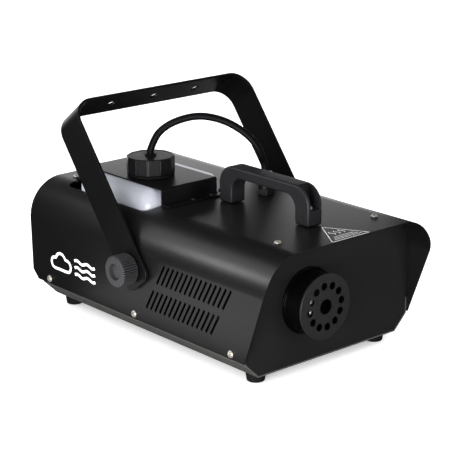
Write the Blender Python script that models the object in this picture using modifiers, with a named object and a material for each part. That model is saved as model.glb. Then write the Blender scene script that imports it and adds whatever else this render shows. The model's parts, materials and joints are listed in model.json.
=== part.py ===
"""Fog machine: a sheet-metal case on a chamfered tray, a tilting yoke, a carry handle, a fluid tank with a
screw cap and hose, and the heater, pump and electrics inside.

Metres, +Z up. The fog leaves along -Y, the rear panel faces +Y and the tray stands on its feet at z = 0.
The origin is the middle of the footprint, on the ground.
"""

from math import atan, cos, pi, radians, sin, sqrt

import bmesh
import bpy
from mathutils import Matrix, Vector

# ---- Driving dimensions ---------------------------------------------------------------------------------
GAP = 0.0003  # clearance between touching pieces
SHEET = 0.0015  # case and tray sheet
THROUGH = 0.13  # half the length of a bore that passes both side walls
SHORT = 0.010  # and of one that passes a single sheet

BODY_LENGTH = 0.3995
BODY_FRONT = -BODY_LENGTH / 2
BODY_REAR = BODY_LENGTH / 2
FOOT_HEIGHT = 0.011
TRAY_HALF_WIDTH = 0.0984  # flat bottom, before the chamfer
COVER_BOTTOM_Z = 0.030
COVER_BOTTOM_HALF_WIDTH = 0.1178
SHOULDER_Z = 0.1014  # where the side wall turns into the shoulder arc
SHOULDER_HALF_WIDTH = 0.1189
SHOULDER_RADIUS = 0.0435
COVER_TOP_Z = SHOULDER_Z + SHOULDER_RADIUS
FLAT_HALF_WIDTH = SHOULDER_HALF_WIDTH - SHOULDER_RADIUS
ARC_STEPS = 10
FLANGE_TOP_Z = 0.046  # top of the tray's upright flange
CHAMFER_TOP_X = COVER_BOTTOM_HALF_WIDTH - SHEET - GAP
CHAMFER_TOP_Z = COVER_BOTTOM_Z - SHEET - GAP
PANEL_DEPTH = 0.012
JOGGLE = 0.006  # height over which the end panels step out from the tray's flange to the cover

VISOR_DEPTH = 0.0325  # the cover stands this far in front of the front panel
REAR_RECESS = 0.017  # and this far behind the rear panel
FRONT_PANEL_Y = BODY_FRONT + VISOR_DEPTH
REAR_PANEL_Y = BODY_REAR - REAR_RECESS
VISOR_SLOPE = 0.38  # how fast the visor's side edge falls back, per metre of height
VISOR_BLEND_LOW_Z = 0.103
VISOR_BLEND_HIGH_Z = 0.123
REAR_CORNER_CUT = 0.010

VENT_COUNT = 15
VENT_PITCH = 0.0075
VENT_LENGTH = 0.0267
VENT_WIDTH = 0.0028
VENT_SLANT = atan(13.6 / 23.0)
VENT_ROWS = ((-0.1433, 0.0915), (-0.1240, 0.0598))  # first slot's middle: y, z

PIVOT = Vector((0.0, 0.005, 0.090))
YOKE_TILT = radians(37.3)  # leaning back from upright
YOKE_RADIUS = 0.1896  # pivot to the bar's outer face
YOKE_HALF_SPAN = 0.1242
YOKE_WIDTH = 0.0418
YOKE_SHEET = 0.003
YOKE_BEND = 0.025
YOKE_TAIL = 0.0214  # arm beyond the pivot
YOKE_END_RADIUS = 0.009
YOKE_HOLE_SPACING = 0.060
YOKE_HOLE_RADIUS = 0.0055

BOLT_RADIUS = 0.004
BOLT_CLEARANCE = 0.0045
BOLT_END_X = 0.1080
KNOB_FACE_X = 0.1459
KNOB_BACK_X = 0.1268
KNOB_RADIUS = 0.0172
KNOB_RIBS = 40
KNOB_RIB_DEPTH = 0.0009
KNOB_RECESS = (0.0091, 0.0022)  # radius, depth
KNOB_BORE_COVER = 0.0060  # plastic left over the bolt's end
WASHER_RADIUS = 0.0130
SPACER_RADIUS = 0.0120
NUT_PLATE = Vector((0.004, 0.022, 0.024))

NOZZLE_X = -0.0317
NOZZLE_Z = 0.0777
NOZZLE_REACH = 0.0271  # front panel to the disc's face
NOZZLE_DISC_RADIUS = 0.0345
NOZZLE_DISC_THICKNESS = 0.0025
NOZZLE_BARREL_RADIUS = 0.033
NOZZLE_BARREL_WALL = 0.002
NOZZLE_FLANGE = (0.0353, 0.0016)  # radius, thickness with its gap
NOZZLE_HOLES = 12
NOZZLE_HOLE_RADIUS = 0.004
NOZZLE_HOLE_CIRCLE = 0.0219
NOZZLE_HOLE_START = radians(6.3)
NOZZLE_CENTRE_RADIUS = 0.008

TANK_LOW = Vector((-0.0910, 0.0180, 0.0130))
TANK_HIGH = Vector((0.0175, 0.1465, 0.1617))
TANK_WALL = 0.002
TANK_ROUNDING = 0.010
OPENING_CLEARANCE = Vector((0.0010, 0.0008, 0.025))  # round the tank, at its sides and its front
OPENING_BEHIND = 0.0100  # opening's rear edge, behind the bracket's
OPENING_RADIUS = 0.009
CAP_CENTRE = Vector((-0.040, 0.0750, 0.1850))  # top face
CAP_RADIUS = 0.027
CAP_FACETS = 12
CAP_HEIGHT = 0.0185
CAP_ROOF = 0.0042
NECK_RADIUS = 0.0215
NECK_CLEARANCE = 0.0010
SEAL_RADIUS = 0.0262
GROMMET_RADIUS = 0.0062
GROMMET_LIP = 0.0012
BRACKET_X = (-0.0724, 0.0050)
BRACKET_FRONT_Y = 0.0155
BRACKET_REAR_Y = 0.1540
BRACKET_TOP_Z = 0.1635
BRACKET_LIP = 0.012
BRACKET_REAR_LIP = 0.0185
BRACKET_FOLD = 0.003
BRACKET_SCREWS = (("left", -0.0353), ("right", -0.0089))
FOLD_STEPS = 4

HANDLE_X = -0.0025
HANDLE_WIDTH = 0.020
HANDLE_Y = (-0.1480, -0.0080)
HANDLE_TOP_Z = 0.1868
HANDLE_LEG = 0.021
HANDLE_BAR = 0.0118
HANDLE_OUTER = 0.021
HANDLE_INNER = 0.015
HANDLE_CHEEK = 0.0033
POCKET_SILL = 0.0165  # a screw pocket's floor above the case, and its depth along the handle
HANDLE_SCREW_IN = 0.0100

HOSE_RADIUS = 0.004
GLAND = Vector((0.042, -0.0225, COVER_TOP_Z))
HOSE_APEX_Z = 0.230
CLAMP_RADIUS = 0.0053
CLAMP_Z = (0.0208, 0.0248)  # above the case top
PICKUP_RADIUS = 0.0032
PICKUP_TOP_Z = 0.1762
PICKUP_FLOOR_GAP = 0.004

SIDE_SCREW_Z = 0.0362
SIDE_SCREW_Y = (-0.1485, 0.0087, 0.1659)
TOP_SCREW_X = 0.0683
TOP_SCREW_Y = (-0.1629, 0.1775)
SCREW_HEAD_RADIUS = 0.0040
SCREW_HEAD_HEIGHT = 0.0022
SCREW_SHANK_RADIUS = 0.0018
SCREW_SHANK_LENGTH = 0.0075
SCREW_CLEARANCE = 0.0022
FEET = ((-0.0855, -0.149), (0.0855, -0.149), (-0.0855, 0.165), (0.0855, 0.165))
FOOT_RADIUS = 0.0105

INLET = Vector((0.070, REAR_PANEL_Y, 0.060))
SWITCH = Vector((0.070, REAR_PANEL_Y, 0.098))
FUSE = Vector((0.030, REAR_PANEL_Y, 0.060))
REMOTE = Vector((0.030, REAR_PANEL_Y, 0.098))
FITTING_DEPTH = 0.020  # inlet and switch bodies, behind the panel's face
SWITCH_PIVOT = SWITCH + Vector((0, -0.0015, 0))
ROCKER_RADIUS = 0.0106
ROCKER_WIDTH = 0.0138
ROCKER_SPREAD = radians(36)  # from the rocker's face to the edge of its round back
ROCKER_VALLEY = 0.0032
ROCKER_TILT = radians(8)

HEATER_Y = (FRONT_PANEL_Y + 0.0155, -0.0200)
HEATER_HALF = (0.028, 0.025)
JACKET_HALF = (0.037, 0.034)
JACKET_INSET = 0.008
CRADLE_LEG = 0.030
CRADLE_FOOT = 0.042
CRADLE_LENGTH = 0.090
PUMP = Vector((0.070, 0.050, 0.046))
PUMP_HALF = Vector((0.018, 0.020, 0.018))
PUMP_PORT = 0.029  # pump middle to either port's face
PUMP_BRACKET_HALF = 0.022
PUMP_TUBE_RADIUS = 0.0025
SUCTION_TUBE_RADIUS = 0.0030
TUBE_GAP = 0.0006  # a tube end may meet its fitting at a slight angle
BOARD_LOW = Vector((0.030, -0.130, 0.0200))
BOARD_HIGH = Vector((0.095, -0.050, 0.0216))
BOARD_POST_IN = 0.006

# ---- Scene, materials and small makers ------------------------------------------------------------------
for old in list(bpy.data.objects):
    bpy.data.objects.remove(old, do_unlink=True)

PARTS = bpy.data.collections.new("fog_machine")
CUTTERS = bpy.data.collections.new("cutters")
bpy.context.scene.collection.children.link(PARTS)
bpy.context.scene.collection.children.link(CUTTERS)

FINISHES = {
    "case_paint": ((0.020, 0.020, 0.022), 0.42, 0.0),
    "tray_paint": ((0.045, 0.044, 0.043), 0.45, 0.0),
    "black_plastic": ((0.022, 0.022, 0.024), 0.48, 0.0),
    "rubber": ((0.015, 0.015, 0.015), 0.75, 0.0),
    "nickel": ((0.62, 0.60, 0.56), 0.25, 1.0),
    "tank_plastic": ((0.62, 0.65, 0.74), 0.35, 0.0),
    "aluminium": ((0.72, 0.72, 0.72), 0.4, 1.0),
    "brass": ((0.70, 0.52, 0.25), 0.3, 1.0),
    "insulation": ((0.75, 0.72, 0.62), 0.9, 0.0),
    "board": ((0.03, 0.18, 0.08), 0.5, 0.0),
    "coil": ((0.55, 0.10, 0.06), 0.4, 0.0),
    "switch_red": ((0.50, 0.03, 0.02), 0.3, 0.0),
}


def material_for(node, finish):
    """A Principled material of the node's own."""
    colour, roughness, metallic = FINISHES[finish]
    made = bpy.data.materials.new(f"{node}_{finish}")
    made.use_nodes = True
    shader = made.node_tree.nodes["Principled BSDF"]
    shader.inputs["Base Color"].default_value = (*colour, 1.0)
    shader.inputs["Roughness"].default_value = roughness
    shader.inputs["Metallic"].default_value = metallic
    return made


def place(name, mesh, finish=None, matrix=None):
    """Link a mesh as a part, or as a hidden cutter when it has no finish."""
    obj = bpy.data.objects.new(name, mesh)
    obj.matrix_world = matrix or Matrix.Identity(4)
    if finish:
        PARTS.objects.link(obj)
        mesh.materials.append(material_for(name, finish))
        mesh.shade_smooth()
        mesh.set_sharp_from_angle(angle=radians(34))
    else:
        CUTTERS.objects.link(obj)
        obj.hide_render = True
        obj.display_type = "WIRE"
    return obj


def mesh_of(name, bm):
    mesh = bpy.data.meshes.new(name)
    bmesh.ops.recalc_face_normals(bm, faces=bm.faces)
    bm.to_mesh(mesh)
    bm.free()
    return mesh


def box(name, low, high, finish=None, round_edges=0.0, segments=1, upright_only=False):
    """A block between two corners; round_edges bevels every edge, or only the upright ones."""
    low, high = Vector(low), Vector(high)
    bm = bmesh.new()
    bmesh.ops.create_cube(bm, size=1.0)
    bmesh.ops.scale(bm, vec=high - low, verts=bm.verts)
    bmesh.ops.translate(bm, vec=(low + high) / 2, verts=bm.verts)
    if round_edges:
        edges = [e for e in bm.edges if not upright_only or abs(e.verts[0].co.z - e.verts[1].co.z) > 1e-6]
        bmesh.ops.bevel(bm, geom=edges, offset=round_edges, segments=segments, profile=0.5, affect="EDGES")
    return place(name, mesh_of(name, bm), finish)


AXES = {
    "X": Matrix.Rotation(pi / 2, 4, "Y"),
    "Y": Matrix.Rotation(-pi / 2, 4, "X"),
    "Z": Matrix.Identity(4),
}


def cylinder(name, radius, start, length, axis="Z", finish=None, segments=24):
    """A round bar from start, running length along +axis."""
    bm = bmesh.new()
    bmesh.ops.create_cone(
        bm, cap_ends=True, segments=segments, radius1=radius, radius2=radius, depth=length
    )
    bmesh.ops.translate(bm, vec=(0, 0, length / 2), verts=bm.verts)
    return place(name, mesh_of(name, bm), finish, Matrix.Translation(start) @ AXES[axis])


def bore(name, radius, centre, reach, axis="Z", segments=12):
    """A hidden round cutter, running reach each way from its centre."""
    start = Vector(centre) - AXES[axis] @ Vector((0, 0, reach))
    return cylinder(name, radius, start, 2 * reach, axis, None, segments)


def turned(name, profile, origin, axis="Z", finish=None, steps=24, ring=False):
    """A turned shape: (radius, height) points, top to bottom on the outer side, spun round the axis."""
    mesh = bpy.data.meshes.new(name)
    count = len(profile)
    edges = [(i, i + 1) for i in range(count - 1)]
    if ring:
        edges.append((count - 1, 0))
    edges = [(a, b) for a, b in edges if profile[a][0] or profile[b][0]]
    mesh.from_pydata([(r, 0.0, h) for r, h in profile], edges, [])
    obj = place(name, mesh, finish, Matrix.Translation(origin) @ AXES[axis])
    spin = obj.modifiers.new("Spin", "SCREW")
    spin.steps = spin.render_steps = steps
    spin.use_merge_vertices = True
    spin.merge_threshold = 0.00001
    spin.use_smooth_shade = False
    return obj


PLANES = {
    "XY": Matrix.Identity(4),
    "XZ": Matrix.Rotation(pi / 2, 4, "X"),
    "YZ": Matrix.Rotation(pi / 2, 4, "Z") @ Matrix.Rotation(pi / 2, 4, "X"),
}


def outline(name, points, thickness, origin, plane="XY", finish=None):
    """A flat outline, filled and given a thickness centred on the plane through origin."""
    curve = bpy.data.curves.new(name, "CURVE")
    curve.dimensions = "2D"
    curve.fill_mode = "BOTH"
    curve.extrude = thickness / 2
    spline = curve.splines.new("POLY")
    spline.points.add(len(points) - 1)
    for point, (u, v) in zip(spline.points, points):
        point.co = (u, v, 0.0, 1.0)
    spline.use_cyclic_u = True
    return solid_from_curve(name, curve, finish, Matrix.Translation(origin) @ PLANES[plane])


def solid_from_curve(name, curve, finish, matrix):
    """The closed mesh of a curve, its caps welded on."""
    guide = bpy.data.objects.new(name + "_guide", curve)
    PARTS.objects.link(guide)
    bpy.context.view_layer.update()
    graph = bpy.context.evaluated_depsgraph_get()
    mesh = bpy.data.meshes.new_from_object(guide.evaluated_get(graph))
    bpy.data.objects.remove(guide, do_unlink=True)
    mesh.name = name
    bm = bmesh.new()
    bm.from_mesh(mesh)
    bmesh.ops.remove_doubles(bm, verts=bm.verts, dist=0.000001)
    bmesh.ops.recalc_face_normals(bm, faces=bm.faces)
    bm.to_mesh(mesh)
    bm.free()
    mesh.materials.clear()
    return place(name, mesh, finish, matrix)


def tube(name, points, radius, finish, resolution=2):
    """A round tube along the points, with filled ends."""
    curve = bpy.data.curves.new(name, "CURVE")
    curve.dimensions = "3D"
    curve.bevel_depth = radius
    curve.bevel_resolution = resolution
    curve.use_fill_caps = True
    spline = curve.splines.new("POLY")
    spline.points.add(len(points) - 1)
    for point, position in zip(spline.points, points):
        point.co = (*position, 1.0)
    obj = bpy.data.objects.new(name, curve)
    curve.materials.append(material_for(name, finish))
    PARTS.objects.link(obj)
    return obj


def cut(obj, cutter):
    step = obj.modifiers.new("Cut " + cutter.name, "BOOLEAN")
    step.operation = "DIFFERENCE"
    step.object = cutter
    return obj


def join(obj, extra):
    step = obj.modifiers.new("Join " + extra.name, "BOOLEAN")
    step.operation = "UNION"
    step.object = extra
    return obj


def round_over(obj, width, segments=1, angle=50):
    step = obj.modifiers.new("Bevel", "BEVEL")
    step.width = width
    step.segments = segments
    step.limit_method = "ANGLE"
    step.angle_limit = radians(angle)
    return obj


def arc(centre_u, centre_v, radius, start, end, steps):
    """Points on an arc, angles in degrees."""
    turn = (radians(start + (end - start) * i / steps) for i in range(steps + 1))
    return [(centre_u + radius * cos(a), centre_v + radius * sin(a)) for a in turn]


def smooth_route(knots, spacing):
    """Evenly spaced points on a smooth curve through the knots."""
    knots = [Vector(k) for k in knots]
    ends = [knots[0] * 2 - knots[1], *knots, knots[-1] * 2 - knots[-2]]
    fine = []
    for p0, p1, p2, p3 in zip(ends, ends[1:], ends[2:], ends[3:]):
        for i in range(24):
            t = i / 24
            fine.append(
                0.5
                * (
                    2 * p1
                    + (p2 - p0) * t
                    + (2 * p0 - 5 * p1 + 4 * p2 - p3) * t**2
                    + (3 * p1 - p0 - 3 * p2 + p3) * t**3
                )
            )
    fine.append(knots[-1])
    lengths = [0.0]
    for a, b in zip(fine, fine[1:]):
        lengths.append(lengths[-1] + (b - a).length)
    count = max(2, round(lengths[-1] / spacing))
    route, at = [], 0
    for i in range(count + 1):
        wanted = lengths[-1] * i / count
        while at < len(fine) - 2 and lengths[at + 1] < wanted:
            at += 1
        share = (wanted - lengths[at]) / (lengths[at + 1] - lengths[at])
        route.append(fine[at].lerp(fine[at + 1], min(1.0, share)))
    return route


# ---- Case -----------------------------------------------------------------------------------------------
WALL_LEAN = (SHOULDER_HALF_WIDTH - COVER_BOTTOM_HALF_WIDTH) / (SHOULDER_Z - COVER_BOTTOM_Z)


def wall_x(z):
    """Half width of the cover's outer face on its side wall."""
    return COVER_BOTTOM_HALF_WIDTH + WALL_LEAN * (z - COVER_BOTTOM_Z)


def visor_y(z):
    """Front edge of the cover at a height: straight over the top, then falling back with a soft corner."""
    middle = (VISOR_BLEND_LOW_Z + VISOR_BLEND_HIGH_Z) / 2
    if z >= VISOR_BLEND_HIGH_Z:
        return BODY_FRONT
    if z <= VISOR_BLEND_LOW_Z:
        return BODY_FRONT + VISOR_SLOPE * (middle - z)
    return BODY_FRONT + VISOR_SLOPE * (VISOR_BLEND_HIGH_Z - z) ** 2 / (
        2 * (VISOR_BLEND_HIGH_Z - VISOR_BLEND_LOW_Z)
    )


def half_section(inset):
    """The cover's right half as (x, z), from the bottom edge to the top's middle, moved in by inset."""
    points = [
        (wall_x(z) - inset, z) for z in (COVER_BOTTOM_Z, COVER_BOTTOM_Z + REAR_CORNER_CUT, SHOULDER_Z)
    ]
    points += arc(FLAT_HALF_WIDTH, SHOULDER_Z, SHOULDER_RADIUS - inset, 0, 90, ARC_STEPS)[1:]
    return points


def mirrored(half):
    """A whole symmetric outline, right side first, then over the top to the left."""
    return half + [(-x, z) for x, z in reversed(half)]


def case_cover():
    bm = bmesh.new()
    rows = []
    for x, z in mirrored(half_section(0.0)):
        rear = BODY_REAR - max(0.0, REAR_CORNER_CUT - (z - COVER_BOTTOM_Z))
        rows.append([bm.verts.new((x, visor_y(z), z)), bm.verts.new((x, rear, z))])
    for a, b in zip(rows, rows[1:]):
        bm.faces.new((a[0], b[0], b[1], a[1]))
    mesh = bpy.data.meshes.new("cover_shell")
    bm.to_mesh(mesh)
    bm.free()
    shell = place("cover_shell", mesh, "case_paint")
    skin = shell.modifiers.new("Sheet", "SOLIDIFY")
    skin.thickness = SHEET
    skin.offset = 1.0
    skin.use_even_offset = True
    cut(shell, vent_cutter())
    cut(shell, tank_opening_cutter())
    for y in SIDE_SCREW_Y:
        middle = (0, y, SIDE_SCREW_Z)
        cut(shell, bore(f"side_screw_way_{y:.3f}", SCREW_CLEARANCE, middle, THROUGH, "X"))
    for x in (-TOP_SCREW_X, TOP_SCREW_X):
        for y in TOP_SCREW_Y:
            way = bore(f"top_screw_way_{x:.3f}_{y:.3f}", SCREW_CLEARANCE, (x, y, COVER_TOP_Z), 1.5 * SHORT)
            cut(shell, way)
    cut(shell, bore("bolt_way", BOLT_CLEARANCE, PIVOT, THROUGH, "X", 16))
    cut(shell, bore("gland_way", 0.0070, GLAND, SHORT, "Z", 16))
    return shell


def vent_cutter():
    """Both side walls' slots, as one mesh of slanted blocks."""
    bm = bmesh.new()
    slant = Matrix.Rotation(VENT_SLANT, 4, "X")
    size = Matrix.Diagonal((0.012, VENT_WIDTH, VENT_LENGTH, 1.0))
    for side in (-1, 1):
        for first_y, z in VENT_ROWS:
            for i in range(VENT_COUNT):
                middle = Vector((side * wall_x(z), first_y + i * VENT_PITCH, z))
                bmesh.ops.create_cube(bm, size=1.0, matrix=Matrix.Translation(middle) @ slant @ size)
    return place("vent_slots", mesh_of("vent_slots", bm))


def tank_opening_cutter():
    side, front, height = OPENING_CLEARANCE
    return box(
        "tank_opening",
        (TANK_LOW.x - side, TANK_LOW.y - front, COVER_TOP_Z - height),
        (TANK_HIGH.x + side, BRACKET_REAR_Y + OPENING_BEHIND, COVER_TOP_Z + height),
        round_edges=OPENING_RADIUS,
        segments=4,
        upright_only=True,
    )


def base_tray():
    half = [
        (TRAY_HALF_WIDTH, FOOT_HEIGHT),
        (CHAMFER_TOP_X, CHAMFER_TOP_Z),
        (wall_x(FLANGE_TOP_Z) - SHEET - GAP, FLANGE_TOP_Z),
    ]
    section = [(-x, z) for x, z in reversed(half)] + half
    bm = bmesh.new()
    rows = [
        [bm.verts.new((x, FRONT_PANEL_Y, z)), bm.verts.new((x, REAR_PANEL_Y, z))] for x, z in section
    ]
    for a, b in zip(rows, rows[1:]):
        bm.faces.new((a[0], b[0], b[1], a[1]))
    mesh = bpy.data.meshes.new("base_tray")
    bm.to_mesh(mesh)
    bm.free()
    tray = place("base_tray", mesh, "tray_paint")
    skin = tray.modifiers.new("Sheet", "SOLIDIFY")
    skin.thickness = SHEET
    skin.offset = 1.0
    skin.use_even_offset = True
    for y in SIDE_SCREW_Y:
        cut(tray, bpy.data.objects[f"side_screw_way_{y:.3f}"])
    return tray


def panel_outline(inset):
    """The end panels' outline: inside the tray low down, and inside the cover above the tray's flange."""
    lean = (CHAMFER_TOP_X - TRAY_HALF_WIDTH) / (CHAMFER_TOP_Z - FOOT_HEIGHT)
    bottom = FOOT_HEIGHT + SHEET + GAP + inset
    slope = sqrt(1 + lean * lean)
    low_x = TRAY_HALF_WIDTH + lean * (bottom - FOOT_HEIGHT) - (SHEET + GAP + inset) * slope
    side = 2 * (SHEET + GAP) + inset
    knee_z = FOOT_HEIGHT + (CHAMFER_TOP_X - TRAY_HALF_WIDTH) / lean + (SHEET + GAP + inset) * 0.35
    half = [(low_x, bottom), (wall_x(knee_z) - side, knee_z)]
    step_z = FLANGE_TOP_Z + GAP + inset
    half += [(wall_x(step_z) - side, step_z)]
    half += [(wall_x(z) - SHEET - GAP - inset, z) for z in (step_z + JOGGLE, SHOULDER_Z)]
    half += arc(
        FLAT_HALF_WIDTH, SHOULDER_Z, SHOULDER_RADIUS - SHEET - GAP - inset, 0, 90, ARC_STEPS
    )[1:]
    return mirrored(half)


def end_panel(name, outer_y, inward):
    """A pan: a plate with a flange all round, its outer face at outer_y."""
    centre = outer_y + inward * PANEL_DEPTH / 2
    panel = outline(name, panel_outline(0.0), PANEL_DEPTH, (0, centre, 0), "XZ", "case_paint")
    hollow_y = outer_y + inward * (SHEET + PANEL_DEPTH / 2)
    cut(panel, outline(name + "_hollow", panel_outline(SHEET), PANEL_DEPTH, (0, hollow_y, 0), "XZ"))
    for x in (-TOP_SCREW_X, TOP_SCREW_X):
        y = TOP_SCREW_Y[0] if inward > 0 else TOP_SCREW_Y[1]
        cut(panel, bpy.data.objects[f"top_screw_way_{x:.3f}_{y:.3f}"])
    return panel


def front_panel():
    panel = end_panel("front_panel", FRONT_PANEL_Y + GAP, 1)
    return cut(panel, bore("nozzle_way", 0.009, (NOZZLE_X, FRONT_PANEL_Y, NOZZLE_Z), SHORT, "Y", 20))


def rear_panel():
    panel = end_panel("rear_panel", REAR_PANEL_Y - GAP, -1)
    for name, at, half_x, half_z in (
        ("inlet_way", INLET, 0.0140, 0.0105),
        ("switch_way", SWITCH, 0.0098, 0.0140),
    ):
        half = Vector((half_x, SHORT, half_z))
        cut(panel, box(name, at - half, at + half))
    cut(panel, bore("fuse_way", 0.0065, FUSE, SHORT, "Y", 16))
    cut(panel, bore("remote_way", 0.0092, REMOTE, SHORT, "Y", 20))
    return panel


def screw(name, head_at, axis_in, finish="nickel"):
    """A pan-head screw; head_at is the face under its head and axis_in the way its shank points."""
    profile = [
        (0.0, SCREW_HEAD_HEIGHT),
        (SCREW_HEAD_RADIUS * 0.62, SCREW_HEAD_HEIGHT * 0.9),
        (SCREW_HEAD_RADIUS, SCREW_HEAD_HEIGHT * 0.35),
        (SCREW_HEAD_RADIUS, 0.0),
        (SCREW_SHANK_RADIUS, 0.0),
        (SCREW_SHANK_RADIUS, -SCREW_SHANK_LENGTH),
        (0.0, -SCREW_SHANK_LENGTH),
    ]
    made = turned(name, profile, head_at, "Z", finish, 16)
    out = -Vector(axis_in)
    made.matrix_world = Matrix.Translation(head_at) @ out.to_track_quat("Z", "Y").to_matrix().to_4x4()
    return made


def case_screws():
    for side, label in ((-1, "left"), (1, "right")):
        for y, where in zip(SIDE_SCREW_Y, ("front", "middle", "rear")):
            x = side * (wall_x(SIDE_SCREW_Z + SCREW_HEAD_RADIUS) + GAP)
            screw(f"side_screw_{label}_{where}", Vector((x, y, SIDE_SCREW_Z)), (-side, 0, 0))
        for y, where in zip(TOP_SCREW_Y, ("front", "rear")):
            at = Vector((side * TOP_SCREW_X, y, COVER_TOP_Z + GAP))
            screw(f"top_screw_{label}_{where}", at, (0, 0, -1))


def feet():
    names = ("foot_front_left", "foot_front_right", "foot_rear_left", "foot_rear_right")
    for name, (x, y) in zip(names, FEET):
        top = FOOT_HEIGHT - GAP
        profile = [
            (0.0, top),
            (FOOT_RADIUS, top),
            (FOOT_RADIUS, top - 0.002),
            (FOOT_RADIUS - 0.0012, 0.0015),
            (FOOT_RADIUS - 0.0027, 0.0),
            (0.0, 0.0),
        ]
        turned(name, profile, (x, y, 0.0), "Z", "rubber", 20)


# ---- Yoke and its clamp knobs ---------------------------------------------------------------------------
def yoke():
    """The U bracket, drawn upright about the pivot and then leant back."""
    outer, inner = YOKE_HALF_SPAN, YOKE_HALF_SPAN - YOKE_SHEET
    bend_in = YOKE_BEND - YOKE_SHEET
    corner_x, corner_z = outer - YOKE_BEND, YOKE_RADIUS - YOKE_BEND
    right = [(outer, -YOKE_TAIL), *arc(corner_x, corner_z, YOKE_BEND, 0, 90, 8)]
    inside = [(inner, -YOKE_TAIL), *arc(corner_x, corner_z, bend_in, 0, 90, 8)]
    points = mirrored(right) + list(reversed(mirrored(inside)))
    made = outline("yoke", points, YOKE_WIDTH, PIVOT, "XZ", "case_paint")
    bm = bmesh.new()
    bm.from_mesh(made.data)
    ends = [
        e
        for e in bm.edges
        if all(abs(v.co.y + YOKE_TAIL) < 1e-5 for v in e.verts)
        and abs(e.verts[0].co.z - e.verts[1].co.z) < 1e-5
    ]
    bmesh.ops.bevel(bm, geom=ends, offset=YOKE_END_RADIUS, segments=5, profile=0.5, affect="EDGES")
    bm.to_mesh(made.data)
    bm.free()
    lean = Matrix.Translation(PIVOT) @ Matrix.Rotation(-YOKE_TILT, 4, "X")
    made.matrix_world = lean @ PLANES["XZ"]
    cut(made, bore("yoke_bolt_way", BOLT_CLEARANCE, PIVOT, THROUGH, "X", 16))
    for i in (-1, 0, 1):
        at = Vector((i * YOKE_HOLE_SPACING, 0, YOKE_RADIUS - SHORT))
        hole = cylinder(f"yoke_hole_{i + 1}", YOKE_HOLE_RADIUS, (0, 0, 0), 2 * SHORT, "Z", None, 20)
        hole.matrix_world = lean @ Matrix.Translation(at)
        cut(made, hole)
    return made


def knob_outline():
    """Ribs all round, turned a little so that no rib's edge lies in the bolt's own facets."""
    points = []
    for i in range(2 * KNOB_RIBS):
        radius = KNOB_RADIUS - KNOB_RIB_DEPTH * (i % 2)
        turn = pi * (i + 0.37) / KNOB_RIBS
        points.append((radius * cos(turn), radius * sin(turn)))
    return points


def from_pivot(side, x_one, x_two):
    """The start, on the pivot's axis, of a piece between two distances out to one side."""
    return PIVOT + Vector((min(side * x_one, side * x_two), 0, 0))


def clamp_knob(side, label):
    """A ribbed knob on a bolt that threads into a plate inside the case, with a washer and a spacer."""
    thick = KNOB_FACE_X - KNOB_BACK_X
    middle = PIVOT + Vector((side * (KNOB_FACE_X + KNOB_BACK_X) / 2, 0, 0))
    knob = outline(f"knob_{label}", knob_outline(), thick, middle, "YZ", "black_plastic")
    recess_radius, recess_depth = KNOB_RECESS
    recess_x = KNOB_FACE_X - recess_depth
    start = from_pivot(side, recess_x, recess_x + SHORT)
    cut(knob, cylinder(f"knob_recess_{label}", recess_radius, start, SHORT, "X", None, 24))
    bore_x = KNOB_FACE_X - KNOB_BORE_COVER
    start = from_pivot(side, bore_x, bore_x - 3 * SHORT)
    cut(knob, cylinder(f"knob_bore_{label}", BOLT_RADIUS + GAP, start, 3 * SHORT, "X", None, 16))
    bolt_x = bore_x - GAP - 0.0001
    start = from_pivot(side, bolt_x, BOLT_END_X)
    cylinder(f"knob_bolt_{label}", BOLT_RADIUS, start, bolt_x - BOLT_END_X, "X", "nickel", 16)
    spacer_x = wall_x(PIVOT.z + SPACER_RADIUS) + GAP
    stack = (
        (f"knob_washer_{label}", WASHER_RADIUS, YOKE_HALF_SPAN + GAP, KNOB_BACK_X - GAP),
        (f"yoke_spacer_{label}", SPACER_RADIUS, spacer_x, YOKE_HALF_SPAN - YOKE_SHEET - GAP),
    )
    for name, radius, x_in, x_out in stack:
        height = x_out - x_in
        profile = [(radius, height), (radius, 0.0), (BOLT_CLEARANCE, 0.0), (BOLT_CLEARANCE, height)]
        turned(name, profile, from_pivot(side, x_in, x_out), "X", "rubber", 20, ring=True)
    plate_x = wall_x(PIVOT.z - NUT_PLATE.z / 2) - SHEET - GAP
    low = from_pivot(side, plate_x, plate_x - NUT_PLATE.x) - Vector((0, NUT_PLATE.y, NUT_PLATE.z)) / 2
    plate = box(f"nut_plate_{label}", low, low + NUT_PLATE, "nickel", SHEET)
    cut(plate, bpy.data.objects["bolt_way"])


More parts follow.
